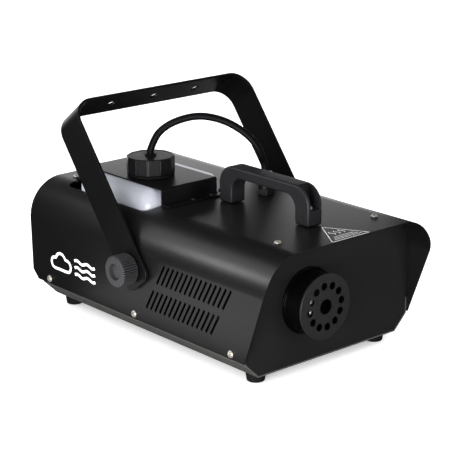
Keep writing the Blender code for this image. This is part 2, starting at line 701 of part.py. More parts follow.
# ---- Carry handle ---------------------------------------------------------------------------------------
def carry_handle():
    front, rear = HANDLE_Y
    base = COVER_TOP_Z + GAP
    under = HANDLE_TOP_Z - HANDLE_BAR
    points = [(front, base)]
    points += arc(front + HANDLE_OUTER, HANDLE_TOP_Z - HANDLE_OUTER, HANDLE_OUTER, 180, 90, 8)
    points += arc(rear - HANDLE_OUTER, HANDLE_TOP_Z - HANDLE_OUTER, HANDLE_OUTER, 90, 0, 8)
    points += [(rear, base), (rear - HANDLE_LEG, base)]
    points += arc(rear - HANDLE_LEG - HANDLE_INNER, under - HANDLE_INNER, HANDLE_INNER, 0, 90, 6)
    points += arc(front + HANDLE_LEG + HANDLE_INNER, under - HANDLE_INNER, HANDLE_INNER, 90, 180, 6)
    points += [(front + HANDLE_LEG, base)]
    handle = outline("carry_handle", points, HANDLE_WIDTH, (HANDLE_X, 0, 0), "YZ", "black_plastic")
    round_over(handle, 0.0012, 1)
    half = HANDLE_WIDTH / 2 - HANDLE_CHEEK
    sill = base + POCKET_SILL
    for label, end, inward in (("front", front, 1), ("rear", rear, -1)):
        low_y, high_y = sorted((end - inward * SHORT, end + inward * POCKET_SILL))
        low = (HANDLE_X - half, low_y, sill)
        cut(handle, box(f"handle_pocket_{label}", low, (HANDLE_X + half, high_y, HANDLE_TOP_Z + SHORT)))
        at = Vector((HANDLE_X, end + inward * HANDLE_SCREW_IN, sill + GAP))
        way = bore(f"handle_screw_way_{label}", 0.0023, at - Vector((0, 0, SHORT)), 2 * SHORT)
        cut(handle, way)
        cut(bpy.data.objects["cover_shell"], way)
        profile = [
            (0.0, 0.0030),
            (0.0038, 0.0030),
            (0.0038, 0.0),
            (0.0019, 0.0),
            (0.0019, -0.0215),
            (0.0, -0.0215),
        ]
        turned(f"handle_screw_{label}", profile, at, "Z", "nickel", 16)
    return handle


# ---- Tank, cap and hose ---------------------------------------------------------------------------------
def fluid_tank():
    tank = box("fluid_tank", TANK_LOW, TANK_HIGH, "tank_plastic", TANK_ROUNDING, 3)
    neck = Vector((CAP_CENTRE.x, CAP_CENTRE.y, TANK_HIGH.z - 0.006))
    neck_top = CAP_CENTRE.z - CAP_ROOF - 0.0013
    join(tank, cylinder("tank_neck", NECK_RADIUS, neck, neck_top - neck.z, "Z", None, 24))
    wall = Vector((TANK_WALL,) * 3)
    cut(tank, box("tank_hollow", TANK_LOW + wall, TANK_HIGH - wall, None, TANK_ROUNDING - SHEET, 2))
    mouth = Vector((CAP_CENTRE.x, CAP_CENTRE.y, neck_top))
    cut(tank, bore("tank_neck_bore", NECK_RADIUS - TANK_WALL, mouth, 3 * SHORT, "Z", 24))
    return tank


def tank_bracket():
    """A hat-shaped strap over the tank, its lips on the cover before and behind the tank."""
    lip = COVER_TOP_Z + GAP
    top = BRACKET_TOP_Z
    front, rear = BRACKET_FRONT_Y, BRACKET_REAR_Y
    fold = BRACKET_FOLD
    outer = [(front - BRACKET_LIP, lip), (front - BRACKET_LIP, lip + SHEET), (front, lip + SHEET)]
    outer += arc(front + fold, top - fold, fold, 180, 90, FOLD_STEPS)
    outer += arc(rear - fold, top - fold, fold, 90, 0, FOLD_STEPS)
    outer += [(rear, lip + SHEET), (rear + BRACKET_REAR_LIP, lip + SHEET)]
    outer += [(rear + BRACKET_REAR_LIP, lip)]
    inner_fold = fold - SHEET
    outer += [(rear - SHEET, lip), *arc(rear - fold, top - fold, inner_fold, 0, 90, FOLD_STEPS)]
    outer += [*arc(front + fold, top - fold, inner_fold, 90, 180, FOLD_STEPS), (front + SHEET, lip)]
    width = BRACKET_X[1] - BRACKET_X[0]
    middle = (BRACKET_X[0] + BRACKET_X[1]) / 2
    bracket = outline("tank_bracket", outer, width, (middle, 0, 0), "YZ", "case_paint")
    neck = Vector((CAP_CENTRE.x, CAP_CENTRE.y, top))
    cut(bracket, bore("neck_way", NECK_RADIUS + NECK_CLEARANCE, neck, SHORT, "Z", 24))
    for label, x in BRACKET_SCREWS:
        at = Vector((x, front - 0.0070, lip + SHEET + GAP))
        way = bore(f"bracket_screw_way_{label}", 0.0016, at, SHORT)
        cut(bracket, way)
        cut(bpy.data.objects["cover_shell"], way)
        profile = [
            (0.0, 0.0014),
            (0.0022, 0.0010),
            (0.0026, 0.0),
            (0.0013, 0.0),
            (0.0013, -0.0050),
            (0.0, -0.0050),
        ]
        turned(f"bracket_screw_{label}", profile, at, "Z", "nickel", 12)
    return bracket


def cap_and_seals():
    x, y, top = CAP_CENTRE
    bottom = top - CAP_HEIGHT
    corners = [2 * pi * (i + 0.5) / CAP_FACETS for i in range(CAP_FACETS)]
    ring = [(CAP_RADIUS * cos(a), CAP_RADIUS * sin(a)) for a in corners]
    cap = outline("tank_cap", ring, CAP_HEIGHT, (x, y, (top + bottom) / 2), "XY", "black_plastic")
    round_over(cap, 0.0010, 1)
    hollow = Vector((x, y, bottom - SHORT))
    room = CAP_HEIGHT + SHORT - CAP_ROOF
    cut(cap, cylinder("cap_hollow", NECK_RADIUS + NECK_CLEARANCE, hollow, room, "Z", None, 24))
    cut(cap, bore("cap_grommet_way", GROMMET_RADIUS + GAP, CAP_CENTRE, 3 * SHORT, "Z", 20))
    inner, outer = HOSE_RADIUS + GAP, GROMMET_RADIUS
    under = -CAP_ROOF - GAP
    profile = [
        (outer + GROMMET_LIP, 0.0011),
        (outer + GROMMET_LIP, GAP),
        (outer, GAP),
        (outer, under),
        (outer + GROMMET_LIP + GAP, under),
        (outer + GROMMET_LIP + GAP, under - 0.0009),
        (inner, under - 0.0009),
        (inner, 0.0011),
    ]
    turned("cap_grommet", profile, CAP_CENTRE, "Z", "rubber", 20, ring=True)
    low, high = BRACKET_TOP_Z + GAP, bottom - GAP
    inner = NECK_RADIUS + 0.0012
    seal = [(SEAL_RADIUS, high), (SEAL_RADIUS, low), (inner, low), (inner, high)]
    turned("neck_seal", seal, (x, y, 0.0), "Z", "rubber", 24, ring=True)


def hose_knots():
    """The hose's route: up out of the cap, over in an arc and down into the gland, in one upright plane."""
    start = Vector((CAP_CENTRE.x, CAP_CENTRE.y, 0.0))
    end = Vector((GLAND.x, GLAND.y, 0.0))
    along = (end - start).normalized()
    span = (end - start).length
    shape = (
        (0.0, 0.1765),
        (0.0, 0.1860),
        (0.0008, 0.1930),
        (0.0100, 0.2105),
        (0.0280, 0.2232),
        (0.0535, HOSE_APEX_Z),
        (0.0790, 0.2268),
        (0.1010, 0.2160),
        (0.1165, 0.2015),
        (span - 0.0028, 0.1845),
        (span, 0.1700),
        (span, 0.1500),
        (span, 0.1340),
    )
    return [start + along * s + Vector((0, 0, z)) for s, z in shape]


def hose_and_gland():
    tube("fluid_hose", smooth_route(hose_knots(), 0.0065), HOSE_RADIUS, "rubber")
    foot = Vector((CAP_CENTRE.x, CAP_CENTRE.y, TANK_LOW.z + TANK_WALL + PICKUP_FLOOR_GAP))
    cylinder("pickup_tube", PICKUP_RADIUS, foot, PICKUP_TOP_Z - foot.z, "Z", "tank_plastic", 12)
    inner = HOSE_RADIUS + GAP
    profile = [
        (0.0062, 0.0200),
        (0.0072, 0.0185),
        (0.0080, 0.0080),
        (0.0092, 0.0070),
        (0.0092, GAP),
        (0.0067, GAP),
        (0.0067, -SHEET - GAP),
        (0.0090, -SHEET - GAP),
        (0.0090, -0.0070),
        (inner, -0.0070),
        (inner, 0.0200),
    ]
    turned("hose_gland", profile, GLAND, "Z", "black_plastic", 20, ring=True)
    low, high = CLAMP_Z
    grip = [(CLAMP_RADIUS, high), (CLAMP_RADIUS, low), (inner, low), (inner, high)]
    clamp = turned("hose_clamp", grip, GLAND, "Z", "nickel", 20, ring=True)
    ear_low = GLAND + Vector((0.0046, -0.0012, low))
    join(clamp, box("hose_clamp_ear", ear_low, ear_low + Vector((0.0044, 0.0024, high - low))))


# ---- Nozzle and heater ----------------------------------------------------------------------------------
def nozzle():
    face = Vector((NOZZLE_X, FRONT_PANEL_Y - NOZZLE_REACH, NOZZLE_Z))
    disc = cylinder("nozzle_disc", NOZZLE_DISC_RADIUS, face, NOZZLE_DISC_THICKNESS, "Y", "case_paint", 40)
    cut(disc, bore("nozzle_centre", NOZZLE_CENTRE_RADIUS, face, SHORT, "Y", 20))
    for i in range(NOZZLE_HOLES):
        turn = NOZZLE_HOLE_START + 2 * pi * i / NOZZLE_HOLES
        at = face + Vector((cos(turn), 0, sin(turn))) * NOZZLE_HOLE_CIRCLE
        cut(disc, bore(f"nozzle_hole_{i:02d}", NOZZLE_HOLE_RADIUS, at, SHORT, "Y"))
    long = NOZZLE_REACH - NOZZLE_DISC_THICKNESS - GAP
    outer, inner = NOZZLE_BARREL_RADIUS, NOZZLE_BARREL_RADIUS - NOZZLE_BARREL_WALL
    flange, thick = NOZZLE_FLANGE
    barrel = [
        (flange, -GAP),
        (flange, -thick),
        (outer, -thick),
        (outer, -long),
        (inner, -long),
        (inner, -GAP),
    ]
    panel = (NOZZLE_X, FRONT_PANEL_Y, NOZZLE_Z)
    turned("nozzle_barrel", barrel, panel, "Y", "case_paint", 40, ring=True)
    jet = [(0.0060, 0.0150), (0.0060, -0.0100), (0.0030, -0.0100), (0.0030, 0.0150)]
    turned("nozzle_tube", jet, panel, "Y", "brass", 16, ring=True)


def heater():
    centre = Vector((NOZZLE_X, 0, NOZZLE_Z))
    half_x, half_z = HEATER_HALF
    low = centre + Vector((-half_x, HEATER_Y[0], -half_z))
    high = centre + Vector((half_x, HEATER_Y[1], half_z))
    box("heater_block", low, high, "aluminium", 0.004, 1)
    wide_x, wide_z = JACKET_HALF
    inset = JACKET_INSET
    jacket = box(
        "insulation_jacket",
        centre + Vector((-wide_x, HEATER_Y[0] + inset, -wide_z)),
        centre + Vector((wide_x, HEATER_Y[1] - inset, wide_z)),
        "insulation",
    )
    room = Vector((half_x + GAP, 0, half_z + GAP))
    cut(
        jacket,
        box(
            "jacket_hollow",
            centre - room + Vector((0, HEATER_Y[0] - SHORT, 0)),
            centre + room + Vector((0, HEATER_Y[1] + SHORT, 0)),
        ),
    )
    top = NOZZLE_Z - wide_z - GAP
    base = FOOT_HEIGHT + SHEET + GAP
    t = SHEET
    leg, foot = CRADLE_LEG, CRADLE_FOOT
    hat = [
        (-foot, base),
        (-leg + t, base),
        (-leg + t, top - t),
        (leg - t, top - t),
        (leg - t, base),
        (foot, base),
        (foot, base + t),
        (leg, base + t),
        (leg, top),
        (-leg, top),
        (-leg, base + t),
        (-foot, base + t),
    ]
    outline("heater_cradle", hat, CRADLE_LENGTH, (NOZZLE_X, -0.085, 0), "XZ", "nickel")
    cap = NOZZLE_Z + wide_z + GAP
    puck = [(0.0, 0.009), (0.0085, 0.009), (0.0085, 0.003), (0.011, 0.003), (0.011, 0.0), (0.0, 0.0)]
    turned("thermostat", puck, (NOZZLE_X, -0.050, cap), "Z", "nickel", 16)


# ---- Pump, tubes and board ------------------------------------------------------------------------------
def pump_and_tubes():
    coil = box("pump", PUMP - PUMP_HALF, PUMP + PUMP_HALF, "coil", 0.002)
    join(coil, bore("pump_barrel", 0.0080, PUMP, PUMP_PORT, "Y", 16))
    base = FOOT_HEIGHT + SHEET + GAP
    under = PUMP.z - PUMP_HALF.z - GAP
    t, half = SHEET, PUMP_BRACKET_HALF
    shelf = [
        (-half, base),
        (-half + t, base),
        (-half + t, under - t),
        (half - t, under - t),
        (half - t, base),
        (half, base),
        (half, under),
        (-half, under),
    ]
    outline("pump_bracket", shelf, 0.034, (PUMP.x, PUMP.y, 0), "XZ", "nickel")
    heater_port = Vector((NOZZLE_X, HEATER_Y[1] + TUBE_GAP, NOZZLE_Z))
    outlet = PUMP - Vector((0, PUMP_PORT + TUBE_GAP, 0))
    feed = [
        outlet,
        outlet + Vector((0, -0.006, 0)),
        outlet + Vector((-0.012, -0.017, 0.006)),
        Vector((0.040, 0.003, 0.062)),
        Vector((0.010, 0.001, 0.072)),
        Vector((-0.014, -0.001, 0.0765)),
        heater_port + Vector((0.004, 0.012, 0)),
        heater_port + Vector((0, 0.004, 0)),
        heater_port,
    ]
    tube("pump_tube", smooth_route(feed, 0.007), PUMP_TUBE_RADIUS, "brass")
    hose_end = GLAND + Vector((0, 0, -0.0109 - TUBE_GAP))
    inlet = PUMP + Vector((0, PUMP_PORT + TUBE_GAP, 0))
    suction = [
        hose_end,
        hose_end + Vector((0, 0, -0.010)),
        Vector((0.044, -0.010, 0.108)),
        Vector((0.052, 0.020, 0.094)),
        Vector((0.064, 0.060, 0.088)),
        Vector((0.071, 0.092, 0.078)),
        Vector((0.072, 0.101, 0.062)),
        inlet + Vector((0.001, 0.013, 0.004)),
        inlet + Vector((0, 0.004, 0)),
        inlet,
    ]
    tube("suction_tube", smooth_route(suction, 0.007), SUCTION_TUBE_RADIUS, "tank_plastic")
    board = box("circuit_board", BOARD_LOW, BOARD_HIGH, "board")
    middle_z = (BOARD_LOW.z + BOARD_HIGH.z) / 2
    for x in (BOARD_LOW.x + BOARD_POST_IN, BOARD_HIGH.x - BOARD_POST_IN):
        for y in (BOARD_LOW.y + BOARD_POST_IN, BOARD_HIGH.y - BOARD_POST_IN):
            join(board, cylinder(f"post_{x:.3f}_{y:.3f}", 0.003, (x, y, base), middle_z - base, "Z", None, 8))
    parts = (((0.045, -0.115), (0.065, -0.095), 0.018), ((0.072, -0.110), (0.086, -0.080), 0.014))
    for i, (low, high, tall) in enumerate(parts):
        join(board, box(f"board_part_{i}", (*low, middle_z), (*high, BOARD_HIGH.z + tall)))


# ---- Rear panel fittings --------------------------------------------------------------------------------
def fitting(name, at, flange, body, mouth, mouth_depth, proud):
    """A snap-in fitting: a flange on the panel, a body behind it and a mouth sunk into both."""
    low, high = Vector((-flange[0], GAP, -flange[1])), Vector((flange[0], proud, flange[1]))
    made = box(name, at + low, at + high, "black_plastic", 0.0009)
    low, high = Vector((-body[0], -FITTING_DEPTH, -body[1])), Vector((body[0], 0.001, body[1]))
    join(made, box(name + "_body", at + low, at + high))
    low, high = Vector((-mouth[0], -mouth_depth, -mouth[1])), Vector((mouth[0], SHORT, mouth[1]))
    return cut(made, box(name + "_mouth", at + low, at + high))


def rear_fittings():
    fitting("power_inlet", INLET, (0.0155, 0.0120), (0.0136, 0.0100), (0.0118, 0.0078), 0.016, 0.0028)
    fitting("switch_frame", SWITCH, (0.0115, 0.0160), (0.0094, 0.0136), (0.0072, 0.0112), 0.014, 0.0022)
    reach, rise = ROCKER_RADIUS * cos(ROCKER_SPREAD), ROCKER_RADIUS * sin(ROCKER_SPREAD) + 0.0008
    spread = ROCKER_SPREAD * 180 / pi
    section = arc(0.0, 0.0, ROCKER_RADIUS, 180 + spread, 360 - spread, 8)
    section += [(reach, rise), (0.0, ROCKER_VALLEY), (-reach, rise)]
    shape = [(v, u) for u, v in section]
    rocker = outline("power_rocker", shape, ROCKER_WIDTH, SWITCH_PIVOT, "YZ", "switch_red")
    rocker.matrix_world = (
        Matrix.Translation(SWITCH_PIVOT) @ Matrix.Rotation(ROCKER_TILT, 4, "X") @ PLANES["YZ"]
    )
    fuse = [
        (0.0, 0.0085),
        (0.0062, 0.0085),
        (0.0072, 0.0075),
        (0.0072, GAP),
        (0.0060, GAP),
        (0.0060, -0.0200),
        (0.0, -0.0200),
    ]
    cap = turned("fuse_cap", fuse, FUSE, "Y", "black_plastic", 20)
    slot_low, slot_high = FUSE + Vector((-0.005, 0.0070, -0.0008)), FUSE + Vector((0.005, 0.0100, 0.0008))
    cut(cap, box("fuse_slot", slot_low, slot_high))
    socket = [
        (0.0125, 0.0030),
        (0.0125, GAP),
        (0.0088, GAP),
        (0.0088, -0.0150),
        (0.0, -0.0150),
        (0.0, -0.0120),
        (0.0068, -0.0120),
        (0.0068, 0.0030),
    ]
    turned("remote_socket", socket, REMOTE, "Y", "black_plastic", 20, ring=True)


case_cover()
base_tray()
front_panel()
rear_panel()
case_screws()
feet()
yoke()
clamp_knob(-1, "left")
clamp_knob(1, "right")
carry_handle()
fluid_tank()
tank_bracket()
cap_and_seals()
hose_and_gland()
nozzle()
heater()
pump_and_tubes()
rear_fittings()
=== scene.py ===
"""The looks of the fog machine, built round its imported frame.

Metres, +Z up; the fog leaves along -Y and the tank stands in the rear half. The shapes that show are made
again here with rounded edges, real screw heads and fine arcs; what lies inside keeps its CAD node.
"""

import json
from math import atan, cos, pi, radians, sin, sqrt, tan

import bmesh
import bpy
from mathutils import Matrix, Vector


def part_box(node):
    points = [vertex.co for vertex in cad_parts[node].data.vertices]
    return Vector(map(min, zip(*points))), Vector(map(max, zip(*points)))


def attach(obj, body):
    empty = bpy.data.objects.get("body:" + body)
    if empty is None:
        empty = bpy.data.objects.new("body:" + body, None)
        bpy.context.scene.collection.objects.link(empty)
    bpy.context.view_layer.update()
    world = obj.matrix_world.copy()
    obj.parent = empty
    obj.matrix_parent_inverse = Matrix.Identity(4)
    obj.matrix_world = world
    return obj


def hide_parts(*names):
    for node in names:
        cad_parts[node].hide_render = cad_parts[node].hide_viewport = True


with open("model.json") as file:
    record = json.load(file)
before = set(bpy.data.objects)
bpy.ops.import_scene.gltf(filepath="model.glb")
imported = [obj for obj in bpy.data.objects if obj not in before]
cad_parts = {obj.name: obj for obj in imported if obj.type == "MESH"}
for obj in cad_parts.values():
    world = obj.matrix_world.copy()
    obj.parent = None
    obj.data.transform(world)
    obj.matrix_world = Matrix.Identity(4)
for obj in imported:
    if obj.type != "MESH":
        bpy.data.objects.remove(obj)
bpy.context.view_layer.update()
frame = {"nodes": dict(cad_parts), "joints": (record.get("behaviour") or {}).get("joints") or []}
NODES = frame["nodes"]
PIVOTS = {joint["name"]: Vector(joint["pos_m"]) for joint in frame["joints"] if "pos_m" in joint}

# ---- Sizes ----
GAP = 0.0003
SHEET = 0.0015

shell_low, shell_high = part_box("cover_shell")
FRONT_Y, REAR_Y = shell_low.y, shell_high.y
COVER_LOW_Z, TOP_Z = shell_low.z, shell_high.z
SHOULDER_RADIUS = 0.0435
SHOULDER_X = shell_high.x
SHOULDER_Z = TOP_Z - SHOULDER_RADIUS
SHOULDER_START = 4.2  # degrees, just above the slots' tops
WALL_LOW_X = 0.1178
WALL_LEAN = (SHOULDER_X - WALL_LOW_X) / (SHOULDER_Z - COVER_LOW_Z)
VISOR_SLOPE = 0.38
VISOR_BLEND_Z = (0.103, 0.123)
REAR_CORNER_CUT = 0.010

VENT_COUNT = 15
VENT_PITCH = 0.0075
VENT_SIZE = (0.012, 0.0028, 0.0267)
VENT_SLANT = atan(13.6 / 23.0)
VENT_ROWS = ((-0.1433, 0.0915), (-0.1240, 0.0598))  # the first slot's Y, and the row's height

PIVOT = PIVOTS["yoke_tilt"]
YOKE_TILT = radians(37.3)
YOKE_HALF_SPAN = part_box("yoke")[1].x
YOKE_RADIUS = 0.1896
YOKE_WIDTH = 0.0418
YOKE_SHEET = 0.003
YOKE_BEND = 0.025
YOKE_TAIL = 0.0214
YOKE_END_RADIUS = 0.009
YOKE_EDGE = 0.0005
YOKE_HOLES = (-0.060, 0.0, 0.060)
YOKE_HOLE_RADIUS = 0.0055
BOLT_WAY_RADIUS = 0.0045
BOLT_REACH = 0.13

TANK_LOW, TANK_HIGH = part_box("fluid_tank")
TANK_BODY_TOP_Z = 0.1617
TANK_EDGES = dict(upright=0.015, top=0.017, bottom=0.010, right_share=0.18)
# how far under the case top the tank's painted shade begins
TANK_PAINTED_SHADE_DROP = 0.014
CAP_AXIS = PIVOTS["cap_turn"]
CAP_FOOT = Vector((CAP_AXIS.x, CAP_AXIS.y, 0.0))
CAP_RADIUS = 0.027
CAP_FACETS = 12
NECK_RADIUS = 0.0215
gland_low, gland_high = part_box("hose_gland")
GLAND = Vector(((gland_low.x + gland_high.x) / 2, (gland_low.y + gland_high.y) / 2, TOP_Z))
GLAND_FOOT = Vector((GLAND.x, GLAND.y, 0.0))
GLAND_WAY_RADIUS = 0.007
NUT_RADIUS = 0.0103
NUT_HEIGHT = 0.0070
HOSE_RADIUS = 0.004
HOSE_BORE = HOSE_RADIUS + 0.0002
HOSE_APEX_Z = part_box("fluid_hose")[1].z - HOSE_RADIUS

disc_low, disc_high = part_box("nozzle_disc")
NOZZLE = Vector(((disc_low.x + disc_high.x) / 2, disc_low.y, (disc_low.z + disc_high.z) / 2))
DISC_RADIUS = (disc_high.x - disc_low.x) / 2


# ---- Materials ----
def new_material(name):
    made = bpy.data.materials.new(name)
    made.use_nodes = True
    return made, made.node_tree.nodes, made.node_tree.links, made.node_tree.nodes["Principled BSDF"]


def noise(nodes, links, scale, detail=3.0, stretch=(1.0, 1.0, 1.0)):
    """Noise in the object's own coordinates, which are the machine's."""
    place = nodes.new("ShaderNodeTexCoord")
    mapping = nodes.new("ShaderNodeMapping")
    mapping.inputs["Scale"].default_value = stretch
    texture = nodes.new("ShaderNodeTexNoise")
    texture.inputs["Scale"].default_value = scale
    texture.inputs["Detail"].default_value = detail
    links.new(place.outputs["Object"], mapping.inputs["Vector"])
    links.new(mapping.outputs["Vector"], texture.inputs["Vector"])
    return texture.outputs["Fac"]


def ranged(nodes, links, source, low, high):
    """A factor spread over low to high."""
    spread = nodes.new("ShaderNodeMapRange")
    spread.inputs["From Min"].default_value = 0.3
    spread.inputs["From Max"].default_value = 0.7
    spread.inputs["To Min"].default_value = low
    spread.inputs["To Max"].default_value = high
    links.new(source, spread.inputs["Value"])
    return spread.outputs["Result"]


def tinted(nodes, links, source, first, second):
    """A colour between two, by a factor."""
    mix = nodes.new("ShaderNodeMix")
    mix.data_type = "RGBA"
    mix.inputs["A"].default_value = (*first, 1.0)
    mix.inputs["B"].default_value = (*second, 1.0)
    links.new(source, mix.inputs["Factor"])
    return mix.outputs["Result"]


def surface(
    name, colour, rough, metallic=0.0, spread=0.10, cloud=14.0, rough_spread=0.05,
    grain=1500.0, depth=0.00002, stretch=(1.0, 1.0, 1.0), specular=0.5, coat=0.0,
):
    """A finish: cloudy colour, uneven roughness and a fine grain in relief."""
    made, nodes, links, shader = new_material(name)
    clouds = noise(nodes, links, cloud, 4.0)
    first = tuple(c * (1 - spread) for c in colour)
    second = tuple(min(1.0, c * (1 + spread)) for c in colour)
    blended = tinted(nodes, links, ranged(nodes, links, clouds, 0.0, 1.0), first, second)
    links.new(blended, shader.inputs["Base Color"])
    fine = noise(nodes, links, grain, 2.0, stretch)
    middle = noise(nodes, links, grain / 9, 3.0, stretch)
    uneven = ranged(nodes, links, middle, rough - rough_spread, rough + rough_spread)
    links.new(uneven, shader.inputs["Roughness"])
    bump = nodes.new("ShaderNodeBump")
    bump.inputs["Strength"].default_value = 1.0
    bump.inputs["Distance"].default_value = depth
    links.new(fine, bump.inputs["Height"])
    links.new(bump.outputs["Normal"], shader.inputs["Normal"])
    shader.inputs["Metallic"].default_value = metallic
    shader.inputs["Specular IOR Level"].default_value = specular
    shader.inputs["Coat Weight"].default_value = coat
    shader.inputs["Coat Roughness"].default_value = 0.35
    return made


EVEN_COAT = dict(grain=1800, rough_spread=0.012)
FINISHES = {  # name: colour, roughness and what differs from surface()'s own values
    "case_paint": ((0.0042, 0.0040, 0.0044), 0.37, dict(EVEN_COAT, depth=0.000006)),
    "panel_paint": ((0.0085, 0.0079, 0.0081), 0.46, dict(EVEN_COAT, depth=0.000006)),
    "tray_paint": ((0.060, 0.058, 0.056), 0.45, dict(depth=0.000012, grain=1800)),
    "yoke_paint": ((0.0030, 0.0030, 0.0034), 0.38, dict(EVEN_COAT, depth=0.000005, specular=0.3)),
    "bracket_paint": ((0.0026, 0.0026, 0.0030), 0.35, dict(EVEN_COAT, depth=0.000005, specular=0.4)),
    "barrel_paint": ((0.0012, 0.0012, 0.0013), 0.32, dict(depth=0.00001, grain=2200, specular=0.12)),
    "nozzle_paint": ((0.0115, 0.0109, 0.0112), 0.42, dict(depth=0.00001, grain=2200)),
    "handle_plastic": ((0.0100, 0.0100, 0.0114), 0.46, dict(depth=0.00003, grain=2600, specular=0.35)),
    "knob_plastic": ((0.0250, 0.0242, 0.0260), 0.55, dict(depth=0.00003, grain=2600)),
    "cap_plastic": (
        (0.0050, 0.0050, 0.0058),
        0.38,
        dict(depth=0.000015, grain=900, stretch=(1, 1, 0.08), specular=0.3),
    ),
    "fitting_plastic": ((0.0050, 0.0050, 0.0055), 0.42, dict(depth=0.00002, grain=2400, specular=0.3)),
    "rubber": ((0.0045, 0.0045, 0.0047), 0.72, dict(depth=0.00003, grain=1900, specular=0.2)),
    "hose_rubber": ((0.0022, 0.0022, 0.0028), 0.50, dict(depth=0.000012, grain=1500, specular=0.12)),
    "nickel": (
        (0.56, 0.53, 0.48),
        0.34,
        dict(metallic=0.75, spread=0.06, depth=0.000006, grain=3000, stretch=(1, 0.1, 1)),
    ),
    "bright_steel": ((0.58, 0.58, 0.57), 0.36, dict(metallic=1.0, depth=0.000008, grain=1200)),
    "black_screw": ((0.030, 0.030, 0.032), 0.40, dict(metallic=0.5, depth=0.000006, grain=2400)),
    "tank_plastic": (
        (0.345, 0.357, 0.400),
        0.34,
        dict(spread=0.05, cloud=32.0, depth=0.00015, grain=70, coat=0.3),
    ),
    "tube_plastic": ((0.55, 0.57, 0.62), 0.30, dict(spread=0.05)),
    "brass": ((0.70, 0.50, 0.22), 0.30, dict(metallic=1.0, depth=0.000008, grain=900)),
    "aluminium": ((0.68, 0.68, 0.69), 0.48, dict(metallic=1.0, depth=0.00005, grain=700)),
    "insulation": (
        (0.0015, 0.0015, 0.0014),
        0.95,
        dict(spread=0.30, cloud=120.0, depth=0.00006, grain=420, specular=0.03),
    ),
    "board": ((0.020, 0.15, 0.060), 0.40, dict(spread=0.25, cloud=260.0, depth=0.00003, coat=0.4)),
    "pump_coil": ((0.42, 0.06, 0.035), 0.40, dict(depth=0.00008, grain=600, stretch=(1, 6, 1))),
    "rocker_red": ((0.46, 0.016, 0.012), 0.26, dict(spread=0.05, depth=0.000006, coat=0.3)),
    "white_ink": ((0.86, 0.86, 0.86), 0.45, dict(spread=0.03, depth=0.000008, grain=2400)),
}
MATERIALS = {name: surface(name, colour, rough, **rest) for name, (colour, rough, rest) in FINISHES.items()}


# ---- Making shapes ----
def object_from(name, bm):
    mesh = bpy.data.meshes.new(name)
    bmesh.ops.remove_doubles(bm, verts=bm.verts, dist=0.0000005)
    bmesh.ops.recalc_face_normals(bm, faces=bm.faces)
    bm.to_mesh(mesh)
    bm.free()
    made = bpy.data.objects.new(name, mesh)
    bpy.context.scene.collection.objects.link(made)
    return made


def skin(name, loops, closed=False):
    """A solid over loops of points, one after another; its ends are filled unless it closes on itself."""
    bm = bmesh.new()
    rings = [[bm.verts.new(point) for point in loop] for loop in loops]
    pairs = list(zip(rings, rings[1:]))
    if closed:
        pairs.append((rings[-1], rings[0]))
    for a, b in pairs:
        for i in range(len(a)):
            j = (i + 1) % len(a)
            bm.faces.new((a[i], a[j], b[j], b[i]))
    if not closed:
        bm.faces.new(rings[0][::-1])
        bm.faces.new(rings[-1])
    return object_from(name, bm)


def fillet(points, radius, steps=4):
    """The outline with an arc in place of each corner; radius is one number, or one for each corner."""
    count = len(points)
    radii = radius if isinstance(radius, (list, tuple)) else [radius] * count
    made = []
    for i, point in enumerate(points):
        here = Vector(point)
        if radii[i] <= 0:
            made.append(here)
            continue
        back, on = Vector(points[i - 1]) - here, Vector(points[(i + 1) % count]) - here
        half = back.angle(on) / 2
        reach = min(radii[i] / tan(half), 0.499 * back.length, 0.499 * on.length)
        first, last = here + back.normalized() * reach, here + on.normalized() * reach
        centre = here + (back.normalized() + on.normalized()).normalized() * (reach / cos(half))
        arm = (first - centre).length
        a, b = (first - centre).normalized(), (last - centre)
        side = (b - a * b.dot(a)).normalized()
        for k in range(steps + 1):
            turn = (pi - 2 * half) * k / steps
            made.append(centre + (a * cos(turn) + side * sin(turn)) * arm)
    return made


def arc(centre_u, centre_v, radius, start, end, steps):
    turns = (radians(start + (end - start) * i / steps) for i in range(steps + 1))
    return [Vector((centre_u + radius * cos(a), centre_v + radius * sin(a))) for a in turns]


TURN_AXES = {"X": (1, 2, 0), "Y": (2, 0, 1), "Z": (0, 1, 2)}


def circle(centre, axis, radius, height, steps):
    """A ring of points round an axis; height is along it."""
    u, v, w = TURN_AXES[axis]
    ring = []
    for i in range(steps):
        point = Vector(centre)
        point[u] += radius * cos(2 * pi * i / steps)
        point[v] += radius * sin(2 * pi * i / steps)
        point[w] += height
        ring.append(point)
    return ring


def turned(name, profile, centre, axis="Z", steps=40, bored=False):
    """A turned solid through (radius, height) points. A bored one's profile is a closed outline."""
    return skin(name, [circle(centre, axis, max(r, 0.00002), h, steps) for r, h in profile], closed=bored)


def way(name, radius, start, end, centre, axis="Z", steps=48):
    """A plain round cutter between two heights along an axis."""
    return turned(name, [(radius, start), (radius, end)], centre, axis, steps)


PLANES = {"YZ": (1, 2, 0), "XY": (0, 1, 2)}


def extruded(name, outline, low, high, plane):
    """A flat outline made solid between two places along the plane's normal."""
    u, v, w = PLANES[plane]
    loops = []
    for place in (low, high):
        loop = []
        for point in outline:
            corner = Vector()
            corner[u], corner[v], corner[w] = point[0], point[1], place
            loop.append(corner)
        loops.append(loop)
    return skin(name, loops)


def block(name, low, high, radius=0.0, steps=2):
    """A block with its upright edges rounded."""
    low, high = Vector(low), Vector(high)
    corners = [(low.x, low.y), (high.x, low.y), (high.x, high.y), (low.x, high.y)]
    outline = fillet(corners, radius, steps) if radius else corners
    return extruded(name, outline, low.z, high.z, "XY")


def settle(made):
    """The object with its modifiers made part of its mesh."""
    graph = bpy.context.evaluated_depsgraph_get()
    mesh = bpy.data.meshes.new_from_object(made.evaluated_get(graph))
    made.modifiers.clear()
    made.data = mesh
    return made


